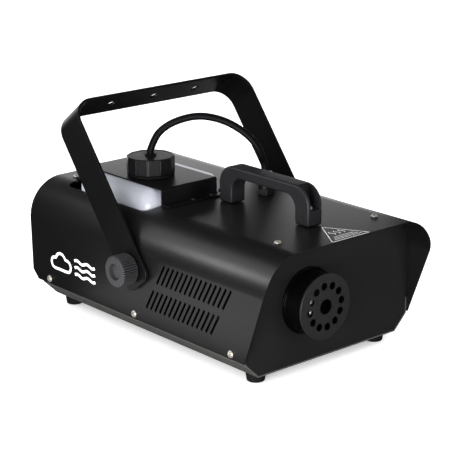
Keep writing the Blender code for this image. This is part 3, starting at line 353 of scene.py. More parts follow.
def boxed(node):
    """A CAD node's lowest and highest corners, and its middle."""
    low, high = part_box(node)
    return low, high, (low + high) / 2


def dropped(made):
    bpy.data.objects.remove(made, do_unlink=True)


def combined(made, others, operation="DIFFERENCE"):
    """Cut the others out of an object, or join them to it, and drop them."""
    for other in others:
        step = made.modifiers.new(other.name, "BOOLEAN")
        step.operation = operation
        step.object = other
    settle(made)
    for other in others:
        dropped(other)
    return made


def edges_rounded(made, width, segments=2, angle=40.0, keep=False):
    """Round the edges that turn more than an angle, in degrees."""
    step = made.modifiers.new("Edges", "BEVEL")
    step.width = width
    step.segments = segments
    step.limit_method = "ANGLE"
    step.angle_limit = radians(angle)
    step.harden_normals = False
    step.use_clamp_overlap = True
    return made if keep else settle(made)


def shaded(made, angle=40.0):
    """Smooth shading that follows the larger faces, with true sharp edges left sharp."""
    made.data.shade_smooth()
    made.data.set_sharp_from_angle(angle=radians(angle))
    step = made.modifiers.new("Normals", "WEIGHTED_NORMAL")
    step.keep_sharp = True
    step.weight = 80
    return made


def finished(made, material, replaced=(), body="chassis", angle=40.0):
    """Give a piece its finish, the CAD nodes that it stands for and its body."""
    shaded(made, angle)
    made.data.materials.clear()
    made.data.materials.append(MATERIALS[material])
    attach(made, body)
    if replaced:
        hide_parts(*replaced)
    return made


# ---- Case ----
def wall_x(z):
    return WALL_LOW_X + WALL_LEAN * (z - COVER_LOW_Z)


def visor_y(z):
    low, high = VISOR_BLEND_Z
    if z >= high:
        return FRONT_Y
    if z <= low:
        return FRONT_Y + VISOR_SLOPE * ((low + high) / 2 - z)
    return FRONT_Y + VISOR_SLOPE * (high - z) ** 2 / (2 * (high - low))


def half_section(inset):
    """The right half: the wall runs straight past the slots, and the arc starts a little above them."""
    half = [Vector((wall_x(z) - inset, z)) for z in (COVER_LOW_Z, COVER_LOW_Z + REAR_CORNER_CUT)]
    centre_x = SHOULDER_X - SHOULDER_RADIUS
    return half + arc(centre_x, SHOULDER_Z, SHOULDER_RADIUS - inset, SHOULDER_START, 90, 28)


def mirrored(half):
    return half + [Vector((-p[0], p[1])) for p in reversed(half)]


def vent_cutters():
    """Both walls' slots, as one mesh of slanted blocks."""
    bm = bmesh.new()
    slant = Matrix.Rotation(VENT_SLANT, 4, "X") @ Matrix.Diagonal((*VENT_SIZE, 1.0))
    for side in (-1, 1):
        for first_y, z in VENT_ROWS:
            for i in range(VENT_COUNT):
                middle = Vector((side * wall_x(z), first_y + i * VENT_PITCH, z))
                bmesh.ops.create_cube(bm, size=1.0, matrix=Matrix.Translation(middle) @ slant)
    return object_from("vents", bm)


def cover():
    loops = []
    for outer, inner in zip(mirrored(half_section(0.0)), mirrored(half_section(SHEET))):
        rear = REAR_Y - max(0.0, REAR_CORNER_CUT - (outer.y - COVER_LOW_Z))
        front = visor_y(outer.y)
        corners = ((outer, front), (outer, rear), (inner, rear), (inner, front))
        loops.append([Vector((edge.x, y, edge.y)) for edge, y in corners])
    made = skin("cover_skin", loops)
    opening_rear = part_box("tank_bracket")[1].y - 0.0085
    opening_low = (TANK_LOW.x - 0.0010, TANK_LOW.y - 0.0008, TOP_Z - 0.030)
    opening_high = (TANK_HIGH.x + 0.0010, opening_rear, TOP_Z + 0.020)
    opening = block("opening", opening_low, opening_high, 0.009, 6)
    gland_way = way("gland_way", GLAND_WAY_RADIUS, 0.01, -0.01, GLAND, "Z", 24)
    bolt_way = way("bolt_way", BOLT_WAY_RADIUS, -BOLT_REACH, BOLT_REACH, PIVOT, "X", 24)
    combined(made, [vent_cutters(), opening, gland_way, bolt_way])
    edges_rounded(made, 0.00030)
    return finished(made, "case_paint", ["cover_shell"])


def carried(name, material, width):
    """A CAD node that keeps its shape, with a better material and its edges rounded."""
    node = NODES[name]
    node.data.materials.clear()
    node.data.materials.append(MATERIALS[material])
    weld = node.modifiers.new("Weld", "WELD")
    weld.merge_threshold = 0.000005
    if width:
        edges_rounded(node, width, 2, 35, keep=True)
    normals = node.modifiers.new("Normals", "WEIGHTED_NORMAL")
    normals.keep_sharp = True


# ---- Screws ----
def cross_head(name, radius, height, shank_radius, shank):
    """A pan head with a cross recess on a plain shank, its seat at the origin and its head up +Z."""
    dome = [
        (radius * 0.30, height), (radius * 0.62, height * 0.93), (radius * 0.84, height * 0.72),
        (radius * 0.97, height * 0.38), (radius, height * 0.16), (radius * 0.97, 0.0),
    ]
    profile = [(0.0, height), *dome]
    profile += [(shank_radius, -0.0001), (shank_radius, -shank), (0.0, -shank)]
    made = turned(name, profile, (0, 0, 0), "Z", 36)
    arm, half = radius * 0.66, radius * 0.19
    bars = [
        block("bar_a", (-arm, -half, height * 0.2), (arm, half, height * 2)),
        block("bar_b", (-half, -arm, height * 0.2), (half, arm, height * 2)),
    ]
    combined(made, bars)
    return edges_rounded(made, radius * 0.03, 1, 50)


def screw_at(mould, name, at, out, turn, replaced=(), material="nickel"):
    """A copy of a mould with its seat at a place and its head looking out."""
    made = bpy.data.objects.new(name, mould.data.copy())
    bpy.context.scene.collection.objects.link(made)
    placed = Matrix.Translation(at) @ Vector(out).to_track_quat("Z", "Y").to_matrix().to_4x4()
    made.data.transform(placed @ Matrix.Rotation(turn, 4, "Z"))
    return finished(made, material, replaced, angle=35)


SIDE_HEAD = {"radius": 0.0040, "height": 0.0021, "shank_radius": 0.0018, "shank": 0.0060}
SMALL_HEAD = {"radius": 0.0026, "height": 0.0013, "shank_radius": 0.0013, "shank": 0.0045}
HANDLE_HEAD = {"radius": 0.0038, "height": 0.0028, "shank_radius": 0.0019, "shank": 0.0205}
NOZZLE_HEAD = {"radius": 0.0038, "height": 0.0022, "shank_radius": 0.0022, "shank": 0.0165}


def screws():
    mould = cross_head("screw_mould", **SIDE_HEAD)
    turns = iter(radians(a) for a in (12, 61, 33, 74, 5, 48, 27, 66, 39, 18))
    for side, label in ((-1, "left"), (1, "right")):
        for where in ("front", "middle", "rear"):
            node = f"side_screw_{label}_{where}"
            low, high, seat = boxed(node)
            seat.x = side * (max(abs(low.x), abs(high.x)) - 0.0022)
            screw_at(mould, node + "_head", seat, (side, 0, 0), next(turns), replaced=[node])
        for where in ("front", "rear"):
            node = f"top_screw_{label}_{where}"
            upright_screw(mould, node, 0.0022, next(turns))
    dropped(mould)
    mould = cross_head("small_mould", **SMALL_HEAD)
    for i, label in enumerate(("left", "right")):
        upright_screw(mould, f"bracket_screw_{label}", 0.0014, 0.4 + i, "black_screw")
    dropped(mould)
    mould = cross_head("long_mould", **HANDLE_HEAD)
    for i, label in enumerate(("front", "rear")):
        upright_screw(mould, f"handle_screw_{label}", 0.0030, 0.7 + i)
    dropped(mould)


def upright_screw(mould, node, head, turn, material="nickel"):
    """A screw driven down, with its seat a head's height under the CAD node's top."""
    low, high, seat = boxed(node)
    seat.z = high.z - head
    screw_at(mould, node + "_head", seat, (0, 0, 1), turn, replaced=[node], material=material)


# ---- Yoke and knobs ----
def yoke_strap():
    """The bent strap, as cross-sections along its path, upright about the pivot and then leant back."""
    middle = YOKE_HALF_SPAN - YOKE_SHEET / 2
    bend = YOKE_BEND - YOKE_SHEET / 2
    top = YOKE_RADIUS - YOKE_SHEET / 2
    rounding = [YOKE_END_RADIUS * (1 - cos(pi / 2 * i / 8)) for i in range(9)]
    half_path = [Vector((middle, -YOKE_TAIL + rise)) for rise in rounding]
    half_path += [Vector((middle, z)) for z in (0.0, 0.06, 0.12)]
    half_path += arc(middle - bend, top - bend, bend, 0, 90, 18)
    half_path += [Vector((x, top)) for x in (0.075, 0.045, 0.015)]
    path = mirrored(half_path)
    loops = []
    for i, here in enumerate(path):
        before, after = path[max(i - 1, 0)], path[min(i + 1, len(path) - 1)]
        along = (after - before).normalized()
        out = Vector((along.y, -along.x))
        from_end = min(here.y + YOKE_TAIL, YOKE_END_RADIUS)
        trim = YOKE_END_RADIUS - sqrt(max(0.0, YOKE_END_RADIUS**2 - (YOKE_END_RADIUS - from_end) ** 2))
        half_width, half_thick = YOKE_WIDTH / 2 - trim, YOKE_SHEET / 2
        corners = [(w * half_width, t * half_thick) for w, t in ((-1, -1), (1, -1), (1, 1), (-1, 1))]
        rounded = fillet(corners, YOKE_EDGE, 3)
        loops.append([Vector((here.x + out.x * t, w, here.y + out.y * t)) for w, t in rounded])
    made = skin("yoke_strap", loops)
    holes = []
    for x in YOKE_HOLES:
        holes.append(way(f"hole_{x:.2f}", YOKE_HOLE_RADIUS, 0.01, -0.01, (x, 0, YOKE_RADIUS), "Z", 32))
    holes.append(way("bolt", BOLT_WAY_RADIUS, -BOLT_REACH, BOLT_REACH, (0, 0, 0), "X", 32))
    combined(made, holes)
    made.data.transform(Matrix.Translation(PIVOT) @ Matrix.Rotation(-YOKE_TILT, 4, "X"))
    return finished(made, "yoke_paint", ["yoke"], "yoke")


KNOB_RIBS = 40


def knob(label, side):
    """A ribbed knob with a flat ring face, and a sunk disc in its middle."""
    low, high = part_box(f"knob_{label}")
    face = high.x if side > 0 else low.x
    back = low.x if side > 0 else high.x
    radius = (high.z - low.z) / 2
    depth = abs(face - back)
    samples = 6 * KNOB_RIBS
    stations = (  # share of the depth from the face, radius less, rib depth
        (0.000, 0.0022, 0.0),
        (0.018, 0.0014, 0.0006),
        (0.050, 0.0004, 0.0019),
        (0.090, 0.0, 0.0024),
        (0.500, 0.0, 0.0024),
        (0.900, 0.0, 0.0024),
        (0.960, 0.0005, 0.0015),
        (1.000, 0.0012, 0.0),
    )
    loops = []
    for share, less, rib in stations:
        loop = []
        for i in range(samples):
            turn = 2 * pi * i / samples
            groove = 0.5 - 0.5 * cos(KNOB_RIBS * turn)
            r = radius - less - rib * groove**2
            x = face - side * depth * share
            loop.append(Vector((x, PIVOT.y + r * cos(turn), PIVOT.z + r * sin(turn))))
        loops.append(loop)
    made = skin(f"knob_{label}_grip", loops)
    start = face - PIVOT.x
    ring = [  # radius, and how far outward of the face
        (0.0092, side * 0.01),
        (0.0090, -side * 0.0003),
        (0.0087, -side * 0.0044),
        (0.0074, -side * 0.0044),
        (0.0070, -side * 0.0034),
        (0.0066, -side * 0.0030),
        (0.0, -side * 0.0028),
        (0.0, side * 0.01),
    ]
    recess = turned("recess", [(r, start + h) for r, h in ring], (0, PIVOT.y, PIVOT.z), "X", 48)
    combined(made, [recess])
    edges_rounded(made, 0.00018, 2, 45)
    finished(made, "knob_plastic", [f"knob_{label}"], f"knob_{label}", angle=45)
    bolt_low, bolt_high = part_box(f"knob_bolt_{label}")
    start = (bolt_low.x, PIVOT.y, PIVOT.z)
    long = bolt_high.x - bolt_low.x
    shares = [(0.0, 0.0), (0.0034, 0.0), (0.0040, 0.02), (0.0040, 0.976), (0.0034, 1.0), (0.0, 1.0)]
    bolt = turned(f"knob_bolt_{label}_shank", [(r, share * long) for r, share in shares], start, "X", 32)
    finished(bolt, "nickel", [f"knob_bolt_{label}"], f"knob_{label}")
    washer, spacer = f"knob_washer_{label}", f"yoke_spacer_{label}"
    for node, body in ((washer, washer), (spacer, "chassis")):
        low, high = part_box(node)
        outer = (high.z - low.z) / 2
        corners = [(outer, low.x), (outer, high.x), (0.0046, high.x), (0.0046, low.x)]
        rounded = fillet(corners, 0.0004, 3)
        ring = turned(node + "_ring", rounded, (0, PIVOT.y, PIVOT.z), "X", 48, bored=True)
        finished(ring, "rubber", [node], body)


# ---- Carry handle ----
HANDLE_LEG = 0.021
HANDLE_BAR = 0.0118
HANDLE_OUTER = 0.021
HANDLE_INNER = 0.015
POCKET_HEIGHT = 0.0165
POCKET_DEPTH = 0.0165
POCKET_WALL = 0.0033
HANDLE_ROUNDING = 0.0024


def handle():
    """A moulded arch with a deep pocket over the screw in each leg."""
    low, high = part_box("carry_handle")
    base, top = low.z, high.z
    front, rear = low.y, high.y
    under = top - HANDLE_BAR
    outline = [Vector((front, base))]
    outline += arc(front + HANDLE_OUTER, top - HANDLE_OUTER, HANDLE_OUTER, 180, 90, 16)
    outline += arc(rear - HANDLE_OUTER, top - HANDLE_OUTER, HANDLE_OUTER, 90, 0, 16)
    outline += [Vector((rear, base)), Vector((rear - HANDLE_LEG, base))]
    outline += arc(rear - HANDLE_LEG - HANDLE_INNER, under - HANDLE_INNER, HANDLE_INNER, 0, 90, 14)
    outline += arc(front + HANDLE_LEG + HANDLE_INNER, under - HANDLE_INNER, HANDLE_INNER, 90, 180, 14)
    outline += [Vector((front + HANDLE_LEG, base))]
    made = extruded("handle_arch", outline, low.x, high.x, "YZ")
    edges_rounded(made, HANDLE_ROUNDING, 3, 60)
    left, right = low.x + POCKET_WALL, high.x - POCKET_WALL
    sill = base + POCKET_HEIGHT
    pockets = [
        block("pocket_front", (left, front - 0.01, sill), (right, front + POCKET_DEPTH, top + 0.01)),
        block("pocket_rear", (left, rear - POCKET_DEPTH, sill), (right, rear + 0.01, top + 0.01)),
    ]
    combined(made, pockets)
    edges_rounded(made, 0.0005, 2, 50)
    return finished(made, "handle_plastic", ["carry_handle"])


# ---- Tank, plate, cap and hose ----
def rounded_box(name, low, high, upright, top, bottom, right_share, steps=8):
    """A blown box with its upright edges rounded, and its top and bottom edges rolled over."""
    levels = []
    for i in range(steps + 1):
        turn = pi / 2 * i / steps
        levels.append((low.z + bottom * (1 - cos(turn)), bottom * (1 - sin(turn))))
    for i in range(steps, -1, -1):
        turn = pi / 2 * i / steps
        levels.append((high.z - top * (1 - cos(turn)), top * (1 - sin(turn))))
    loops = []
    for z, inset in levels:
        a, b = low.x + inset, high.x - inset * right_share
        c, d = low.y + inset, high.y - inset
        corners = [(a, c), (b, c), (b, d), (a, d)]
        radius = max(upright - inset * 0.6, 0.003)
        loops.append([Vector((x, y, z)) for x, y in fillet(corners, radius, 8)])
    return skin(name, loops)


def tank():
    """The blown tank and its neck; it keeps almost its full width at the top on the right."""
    high = Vector((TANK_HIGH.x, TANK_HIGH.y, TANK_BODY_TOP_Z))
    made = rounded_box("tank_body", TANK_LOW, high, **TANK_EDGES)
    neck = way("neck", NECK_RADIUS, TANK_HIGH.z, TANK_BODY_TOP_Z - 0.004, CAP_FOOT)
    combined(made, [neck], "UNION")
    edges_rounded(made, 0.0005, 2, 50)
    finished(made, "tank_plastic", ["fluid_tank"], angle=60)
    # painted shade: the tank turns near-black below a level just under the case top, where it lies in shade
    painted_shade_below(made, TOP_Z - TANK_PAINTED_SHADE_DROP)
    return made


def painted_shade_below(made, level):
    """Painted shade: the tank's faces below the level get the insulation's near-black finish, which stands
    in for the shade the tank lies in inside the case.
    """
    # the insulation's finish, used here as painted shade on the tank
    made.data.materials.append(MATERIALS["insulation"])
    bm = bmesh.new()
    bm.from_mesh(made.data)
    everything = bm.verts[:] + bm.edges[:] + bm.faces[:]
    bmesh.ops.bisect_plane(bm, geom=everything, plane_co=(0, 0, level), plane_no=(0, 0, 1))
    for face in bm.faces:
        if face.calc_center_median().z < level:
            face.material_index = 1
    bm.to_mesh(made.data)
    bm.free()


def tank_plate():
    """The folded strap over the tank, with a rounded hole for the neck."""
    low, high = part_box("tank_bracket")
    lip, top = low.z, high.z
    front, rear = low.y + 0.0120, high.y - 0.0185
    over = lip + SHEET
    outer = [(low.y, over), (front, over), (front, top), (rear, top), (rear, over), (high.y, over)]
    front, rear, under = front + SHEET, rear - SHEET, top - SHEET
    inner = [(high.y, lip), (rear, lip), (rear, under), (front, under), (front, lip), (low.y, lip)]
    foot, crest, hollow = 0.0008, 0.0028, 0.0013
    radii = [0, foot, crest, crest, foot, 0, 0, foot, hollow, hollow, foot, 0]
    outline = fillet(outer + inner, radii, 6)
    made = extruded("tank_plate", outline, low.x, high.x, "YZ")
    combined(made, [way("neck_way", NECK_RADIUS + 0.001, top + 0.01, top - 0.01, CAP_FOOT)])
    edges_rounded(made, 0.0004, 2, 50)
    return finished(made, "bracket_paint", ["tank_bracket"])


def cap():
    """A twelve-sided cap: flat facets with a groove at each edge, a rolled top and a bored middle."""
    low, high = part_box("tank_cap")
    height = high.z - low.z
    grommet_radius = 0.0066
    stations = (  # height from the bottom, radius less, groove depth
        (0.0, 0.0006, 0.0005),
        (0.0008, 0.0, 0.0005),
        (height - 0.0016, 0.0, 0.0005),
        (height - 0.0006, 0.0002, 0.0003),
        (height - 0.0002, 0.0006, 0.0),
        (height, 0.0012, 0.0),
        (height, 0.0030, 0.0),
        (height - 0.0003, 0.0034, 0.0),
        (height - 0.0003, 0.0120, 0.0),
    )
    corner_spread = (-0.050, -0.030, -0.012, 0.0, 0.012, 0.030, 0.050)
    loops = []
    for z, less, groove in stations:
        loop = []
        for i in range(CAP_FACETS):
            corner = 2 * pi * (i + 0.5) / CAP_FACETS
            for offset in corner_spread:
                apothem = (CAP_RADIUS - less) * cos(pi / CAP_FACETS)
                r = apothem / cos(pi / CAP_FACETS - abs(offset)) - groove * max(0.0, 1 - abs(offset) / 0.02)
                turn = corner + offset
                loop.append(Vector((CAP_AXIS.x + r * cos(turn), CAP_AXIS.y + r * sin(turn), low.z + z)))
        loops.append(loop)
    made = skin("cap_body", loops)
    hollow = way("hollow", NECK_RADIUS + 0.001, low.z - 0.01, high.z - 0.0042, CAP_FOOT)
    bore = way("bore", grommet_radius, low.z - 0.02, high.z + 0.02, CAP_FOOT, "Z", 32)
    combined(made, [hollow, bore])
    finished(made, "cap_plastic", ["tank_cap"], "tank_cap", angle=32)
    grommet_and_seal()


def grommet_and_seal():
    """The rubber where the hose enters the cap, and the flat seal round the neck."""
    inner, outer = HOSE_BORE, 0.0062
    profile = [
        (outer + 0.0003, 0.0001), (outer + 0.0002, 0.0008), (outer - 0.0002, 0.0011),
        (inner + 0.0005, 0.0011), (inner, 0.0006), (inner, -0.0052), (outer + 0.0015, -0.0052),
        (outer + 0.0015, -0.0045), (outer, -0.0045), (outer, 0.0001),
    ]
    grommet = turned("cap_grommet_ring", profile, CAP_AXIS, "Z", 40, bored=True)
    finished(grommet, "rubber", ["cap_grommet"], "cap_grommet", angle=50)
    seal_low, seal_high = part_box("neck_seal")
    outer, inner = (seal_high.x - seal_low.x) / 2, NECK_RADIUS + 0.0012
    corners = [(outer, seal_high.z), (outer, seal_low.z), (inner, seal_low.z), (inner, seal_high.z)]
    seal = turned("neck_seal_ring", fillet(corners, 0.0003, 2), CAP_FOOT, "Z", 64, bored=True)
    finished(seal, "rubber", ["neck_seal"])


def hose_route():
    """The hose: up out of the cap, over in an arc and down into the gland, in one upright plane."""
    along, span = (GLAND_FOOT - CAP_FOOT).normalized(), (GLAND_FOOT - CAP_FOOT).length
    shape = (  # distance from the cap's axis, and height
        (0.0, 0.1765), (0.0, 0.1860), (0.0008, 0.1930), (0.0100, 0.2105), (0.0280, 0.2232),
        (0.0535, HOSE_APEX_Z), (0.0790, 0.2268), (0.1010, 0.2160), (0.1165, 0.2015),
        (span - 0.0028, 0.1845), (span, 0.1700), (span, 0.1500), (span, 0.1340),
    )
    return smooth([CAP_FOOT + along * s + Vector((0, 0, z)) for s, z in shape], 10)


def smooth(knots, parts):
    """Points on a smooth curve through the knots."""
    ends = [knots[0] * 2 - knots[1], *knots, knots[-1] * 2 - knots[-2]]
    made = []
    for p0, p1, p2, p3 in zip(ends, ends[1:], ends[2:], ends[3:]):
        for i in range(parts):
            t = i / parts
            first = 2 * p1 + (p2 - p0) * t
            second = (2 * p0 - 5 * p1 + 4 * p2 - p3) * t**2
            third = (3 * p1 - p0 - 3 * p2 + p3) * t**3
            made.append(0.5 * (first + second + third))
    return [*made, knots[-1]]


def hose():
    route = hose_route()
    across = (route[-1] - route[0]).cross(Vector((0, 0, 1))).normalized()
    loops = []
    for i, here in enumerate(route):
        along = (route[min(i + 1, len(route) - 1)] - route[max(i - 1, 0)]).normalized()
        up = across.cross(along).normalized()
        ring = [2 * pi * k / 24 for k in range(24)]
        loops.append([here + (across * cos(a) + up * sin(a)) * HOSE_RADIUS for a in ring])
    made = skin("hose_tube", loops)
    return finished(made, "hose_rubber", ["fluid_hose"], angle=50)


def gland_and_clamp():
    """The hose's nut on the case top, and the screwed band above it."""
    profile = [
        (0.0058, 0.0200), (0.0070, 0.0190), (0.0077, 0.0172), (0.0080, 0.0080), (0.0080, GAP),
        (0.0067, GAP), (0.0067, -SHEET - GAP), (0.0090, -SHEET - GAP), (0.0090, -0.0070),
        (HOSE_BORE, -0.0070), (HOSE_BORE, 0.0196),
    ]
    made = turned("gland_body", profile, GLAND, "Z", 40, bored=True)
    nut = extruded("nut", circle(GLAND, "Z", NUT_RADIUS, 0.0, 6), TOP_Z + GAP, TOP_Z + NUT_HEIGHT, "XY")
    combined(nut, [way("way", 0.0075, 0.02, -0.02, GLAND, "Z", 40)])
    edges_rounded(nut, 0.0005, 2, 30)
    combined(made, [nut], "UNION")
    finished(made, "fitting_plastic", ["hose_gland"], angle=32)
    low, high, middle = boxed("hose_clamp")
    outer = 0.0053
    corners = [(outer, high.z), (outer, low.z), (HOSE_BORE, low.z), (HOSE_BORE, high.z)]
    band = turned("hose_clamp_band", fillet(corners, 0.0004, 3), GLAND_FOOT, "Z", 40, bored=True)
    ear_low, ear_high = (GLAND.x + 0.0048, GLAND.y - 0.0012, low.z), (high.x, GLAND.y + 0.0012, high.z)
    ear = block("ear", ear_low, ear_high, 0.0006)
    combined(band, [ear], "UNION")
    edges_rounded(band, 0.0002, 2, 50)
    finished(band, "nickel", ["hose_clamp"], angle=50)
    head = [(0.0, 0.0), (0.0016, 0.0), (0.0019, 0.0003), (0.0019, 0.0019), (0.0015, 0.0022), (0.0, 0.0022)]
    at = (high.x - 0.0018, GLAND.y - 0.0034, middle.z)
    screw = turned("hose_clamp_screw", head, at, "Y", 24)
    finished(screw, "nickel")


# ---- Nozzle ----
NOZZLE_HOLES = 12
NOZZLE_HOLE_RADIUS = 0.004
NOZZLE_HOLE_CIRCLE = 0.0219
NOZZLE_FIRST_HOLE = radians(6.3)
NOZZLE_CENTRE_RADIUS = 0.008
NOZZLE_SCREWS = ((-0.0143, 0.0063), (-0.0143, -0.0042))
NOZZLE_SCREW_DEPTH = 0.0032
BARREL_RADIUS = 0.033
BARREL_WALL = 0.002
BARREL_FLANGE = 0.0016


def nozzle():
    """The drilled disc, the black sleeve behind it, and the two screws that show through its holes."""
    thick = disc_high.y - disc_low.y
    corners = [(0.0, 0.0), (DISC_RADIUS, 0.0), (DISC_RADIUS, thick), (0.0, thick)]
    rounded = fillet(corners, [0, 0.0005, 0.0005, 0], 3)
    made = turned("nozzle_face", rounded, NOZZLE, "Y", 96)
    ways = [way("centre", NOZZLE_CENTRE_RADIUS, -0.01, 0.02, NOZZLE, "Y", 40)]
    for i in range(NOZZLE_HOLES):
        turn = NOZZLE_FIRST_HOLE + 2 * pi * i / NOZZLE_HOLES
        out = Vector((cos(turn), 0.0, sin(turn))) * NOZZLE_HOLE_CIRCLE
        ways.append(way(f"way_{i}", NOZZLE_HOLE_RADIUS, -0.01, 0.02, NOZZLE + out, "Y", 28))
    combined(made, ways)
    edges_rounded(made, 0.00025, 2, 50)
    finished(made, "nozzle_paint", ["nozzle_disc"])
    # painted shade inside the drilled holes, in the barrel's black paint
    made.data.materials.append(MATERIALS["barrel_paint"])
    for face in made.data.polygons:  # painted shade: the holes' walls get the black barrel paint, which stands in for the shade inside the holes
        across = Vector((face.center.x - NOZZLE.x, 0.0, face.center.z - NOZZLE.z))
        if abs(face.normal.y) < 0.5 and across.length < DISC_RADIUS - 0.001:
            face.material_index = 1
    low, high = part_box("nozzle_barrel")
    flange, inner = (high.x - low.x) / 2, BARREL_RADIUS - BARREL_WALL
    long = high.y - low.y
    step = long - BARREL_FLANGE
    profile = [(flange, long), (flange, step), (BARREL_RADIUS, step)]
    profile += [(BARREL_RADIUS, 0.0), (inner, 0.0), (inner, long)]
    rounded = fillet(profile, [0.0003, 0.0004, 0.0008, 0.0004, 0.0004, 0.0], 3)
    barrel = turned("nozzle_sleeve", rounded, (NOZZLE.x, low.y, NOZZLE.z), "Y", 96, bored=True)
    finished(barrel, "barrel_paint", ["nozzle_barrel"])
    mould = cross_head("nozzle_mould", **NOZZLE_HEAD)
    for i, (x, z) in enumerate(NOZZLE_SCREWS):
        seat = Vector((NOZZLE.x + x, disc_high.y + NOZZLE_SCREW_DEPTH, NOZZLE.z + z))
        screw_at(mould, f"nozzle_screw_{i + 1}", seat, (0, -1, 0), 0.5 + i)
    dropped(mould)


# ---- Markings ----
INK = 0.00008
INK_CLEARANCE = 0.00002


def stroke(points, width, closed):
    """A flat line of even width through 2D points, as an outline of its two sides."""
    count = len(points)
    left, right = [], []
    for i, point in enumerate(points):
        before = points[i - 1] if closed or i else point
        after = points[(i + 1) % count] if closed or i < count - 1 else point
        along = (Vector(after) - Vector(before)).normalized()
        across = Vector((-along.y, along.x)) * width / 2
        left.append(Vector(point) + across)
        right.append(Vector(point) - across)
    return left, right


def inked(name, strokes, to_world, lift):
    """White lines printed on a surface: each stroke is a thin strip lifted off it."""
    bm = bmesh.new()
    for points, width, closed in strokes:
        left, right = stroke(points, width, closed)
        sections = []
        for a, b in zip(left, right):
            corners = ((a, 0.0), (b, 0.0), (b, lift), (a, lift))
            sections.append([bm.verts.new(to_world(point, up)) for point, up in corners])
        pairs = list(zip(sections, sections[1:]))
        if closed:
            pairs.append((sections[-1], sections[0]))
        for a, b in pairs:
            for i in range(4):
                j = (i + 1) % 4
                bm.faces.new((a[i], a[j], b[j], b[i]))
        if not closed:
            bm.faces.new(sections[0])
            bm.faces.new(sections[-1][::-1])
    made = object_from(name, bm)
    made.data.materials.append(MATERIALS["white_ink"])
    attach(made, "chassis")
    return made


def wave(start, length, height, v, count=2, steps=24):
    """A level wavy line at the height v."""
    step, turn = length / steps, 2 * pi * count / steps
    return [(start + step * i, v + height * sin(turn * i)) for i in range(steps + 1)]


def side_pictogram():
    """A plain cloud beside three waves of mist, on the left wall."""
    cloud = arc(0.0085, 0.0080, 0.0062, 270, 115, 14)
    cloud += arc(0.0205, 0.0115, 0.0095, 160, 25, 18)
    cloud += arc(0.0325, 0.0085, 0.0067, 80, -90, 16)
    width = 0.0032
    waves = [(wave(0.0470, 0.0380, 0.0013, v), width, False) for v in (0.0030, 0.0110, 0.0190)]
    strokes = [(cloud, width, True), *waves]
    rear, low = 0.1630, 0.0505

    def to_world(point, lift):
        z = low + point[1]
        return Vector((-wall_x(z) - INK_CLEARANCE - lift, rear - point[0], z))

    inked("side_pictogram", strokes, to_world, INK)


def top_pictogram():
    """A thin triangle with three heat waves and plain bars, printed on the top behind the visor's edge."""
    front = FRONT_Y + 0.0020
    triangle = [(0.0255, front), (-0.0270, front), (0.0010, front + 0.0440)]
    strokes = [(fillet([Vector(p) for p in triangle], 0.001, 3), 0.0006, True)]
    for i in range(3):
        u = -0.0060 + 0.0065 * i
        points = [(u + 0.0014 * sin(2 * pi * k / 16), front + 0.0170 + 0.0100 * k / 16) for k in range(17)]
        strokes.append((points, 0.0007, False))
    for v, half in ((0.0045, 0.0190), (0.0080, 0.0165), (0.0115, 0.0140)):
        strokes.append(([(-half, front + v), (half, front + v)], 0.0005, False))

    def to_world(point, lift):
        return Vector((point[0], point[1], TOP_Z + INK_CLEARANCE + lift))

    inked("top_pictogram", strokes, to_world, INK)


# ---- Feet and rear fittings ----
def feet():
    for node in ("foot_front_left", "foot_front_right", "foot_rear_left", "foot_rear_right"):
        low, high, middle = boxed(node)
        outer, tall = (high.x - low.x) / 2, high.z
        corners = [(0.0, tall), (outer, tall), (outer, tall - 0.002), (outer - 0.0012, 0.0), (0.0, 0.0)]
        profile = fillet(corners, [0, 0.0005, 0.0008, 0.0012, 0], 3)
        made = turned(node + "_pad", profile, (middle.x, middle.y, 0.0), "Z", 40)
        finished(made, "rubber", [node])


INLET_PINS = ((0.0, 0.0022), (-0.0070, -0.0022), (0.0070, -0.0022))
SOCKET_PINS = 5
SOCKET_PIN_CIRCLE = 0.0042
FUSE_NECK = 0.0082


def inlet_pins():
    low, high, middle = boxed("power_inlet")
    for i, (x, z) in enumerate(INLET_PINS):
        pin_low = (middle.x + x - 0.0010, low.y + 0.0040, middle.z + z - 0.0020)
        pin_high = (middle.x + x + 0.0010, high.y - 0.0035, middle.z + z + 0.0020)
        pin = block(f"inlet_pin_{i + 1}", pin_low, pin_high, 0.0004)
        edges_rounded(pin, 0.0003, 2, 50)
        finished(pin, "nickel")


def remote_socket():
    low, high, middle = boxed("remote_socket")
    profile = [(0.0, 0.0), (0.0007, 0.0), (0.0007, 0.0105), (0.0004, 0.0115), (0.0, 0.0115)]
    for i in range(SOCKET_PINS):
        turn = radians(-30 + 60 * i)
        out = Vector((cos(turn), 0.0, sin(turn))) * SOCKET_PIN_CIRCLE
        start = Vector((middle.x, high.y - 0.0155, middle.z)) + out
        pin = turned(f"socket_pin_{i + 1}", profile, start, "Y", 16)
        finished(pin, "nickel")
    outer, shank, bore = (high.x - low.x) / 2, 0.0088, 0.0068
    depth, floor = high.y - low.y, 0.0030
    flange = depth - 0.0027
    profile = [(outer, depth), (outer, flange), (shank, flange), (shank, 0.0)]
    profile += [(0.0, 0.0), (0.0, floor), (bore, floor), (bore, depth)]
    rounded = fillet(profile, [0.0006, 0.0003, 0, 0.0004, 0, 0, 0, 0.0004], 3)
    socket = turned("remote_socket_shell", rounded, (middle.x, low.y, middle.z), "Y", 56, bored=True)
    finished(socket, "fitting_plastic", ["remote_socket"])


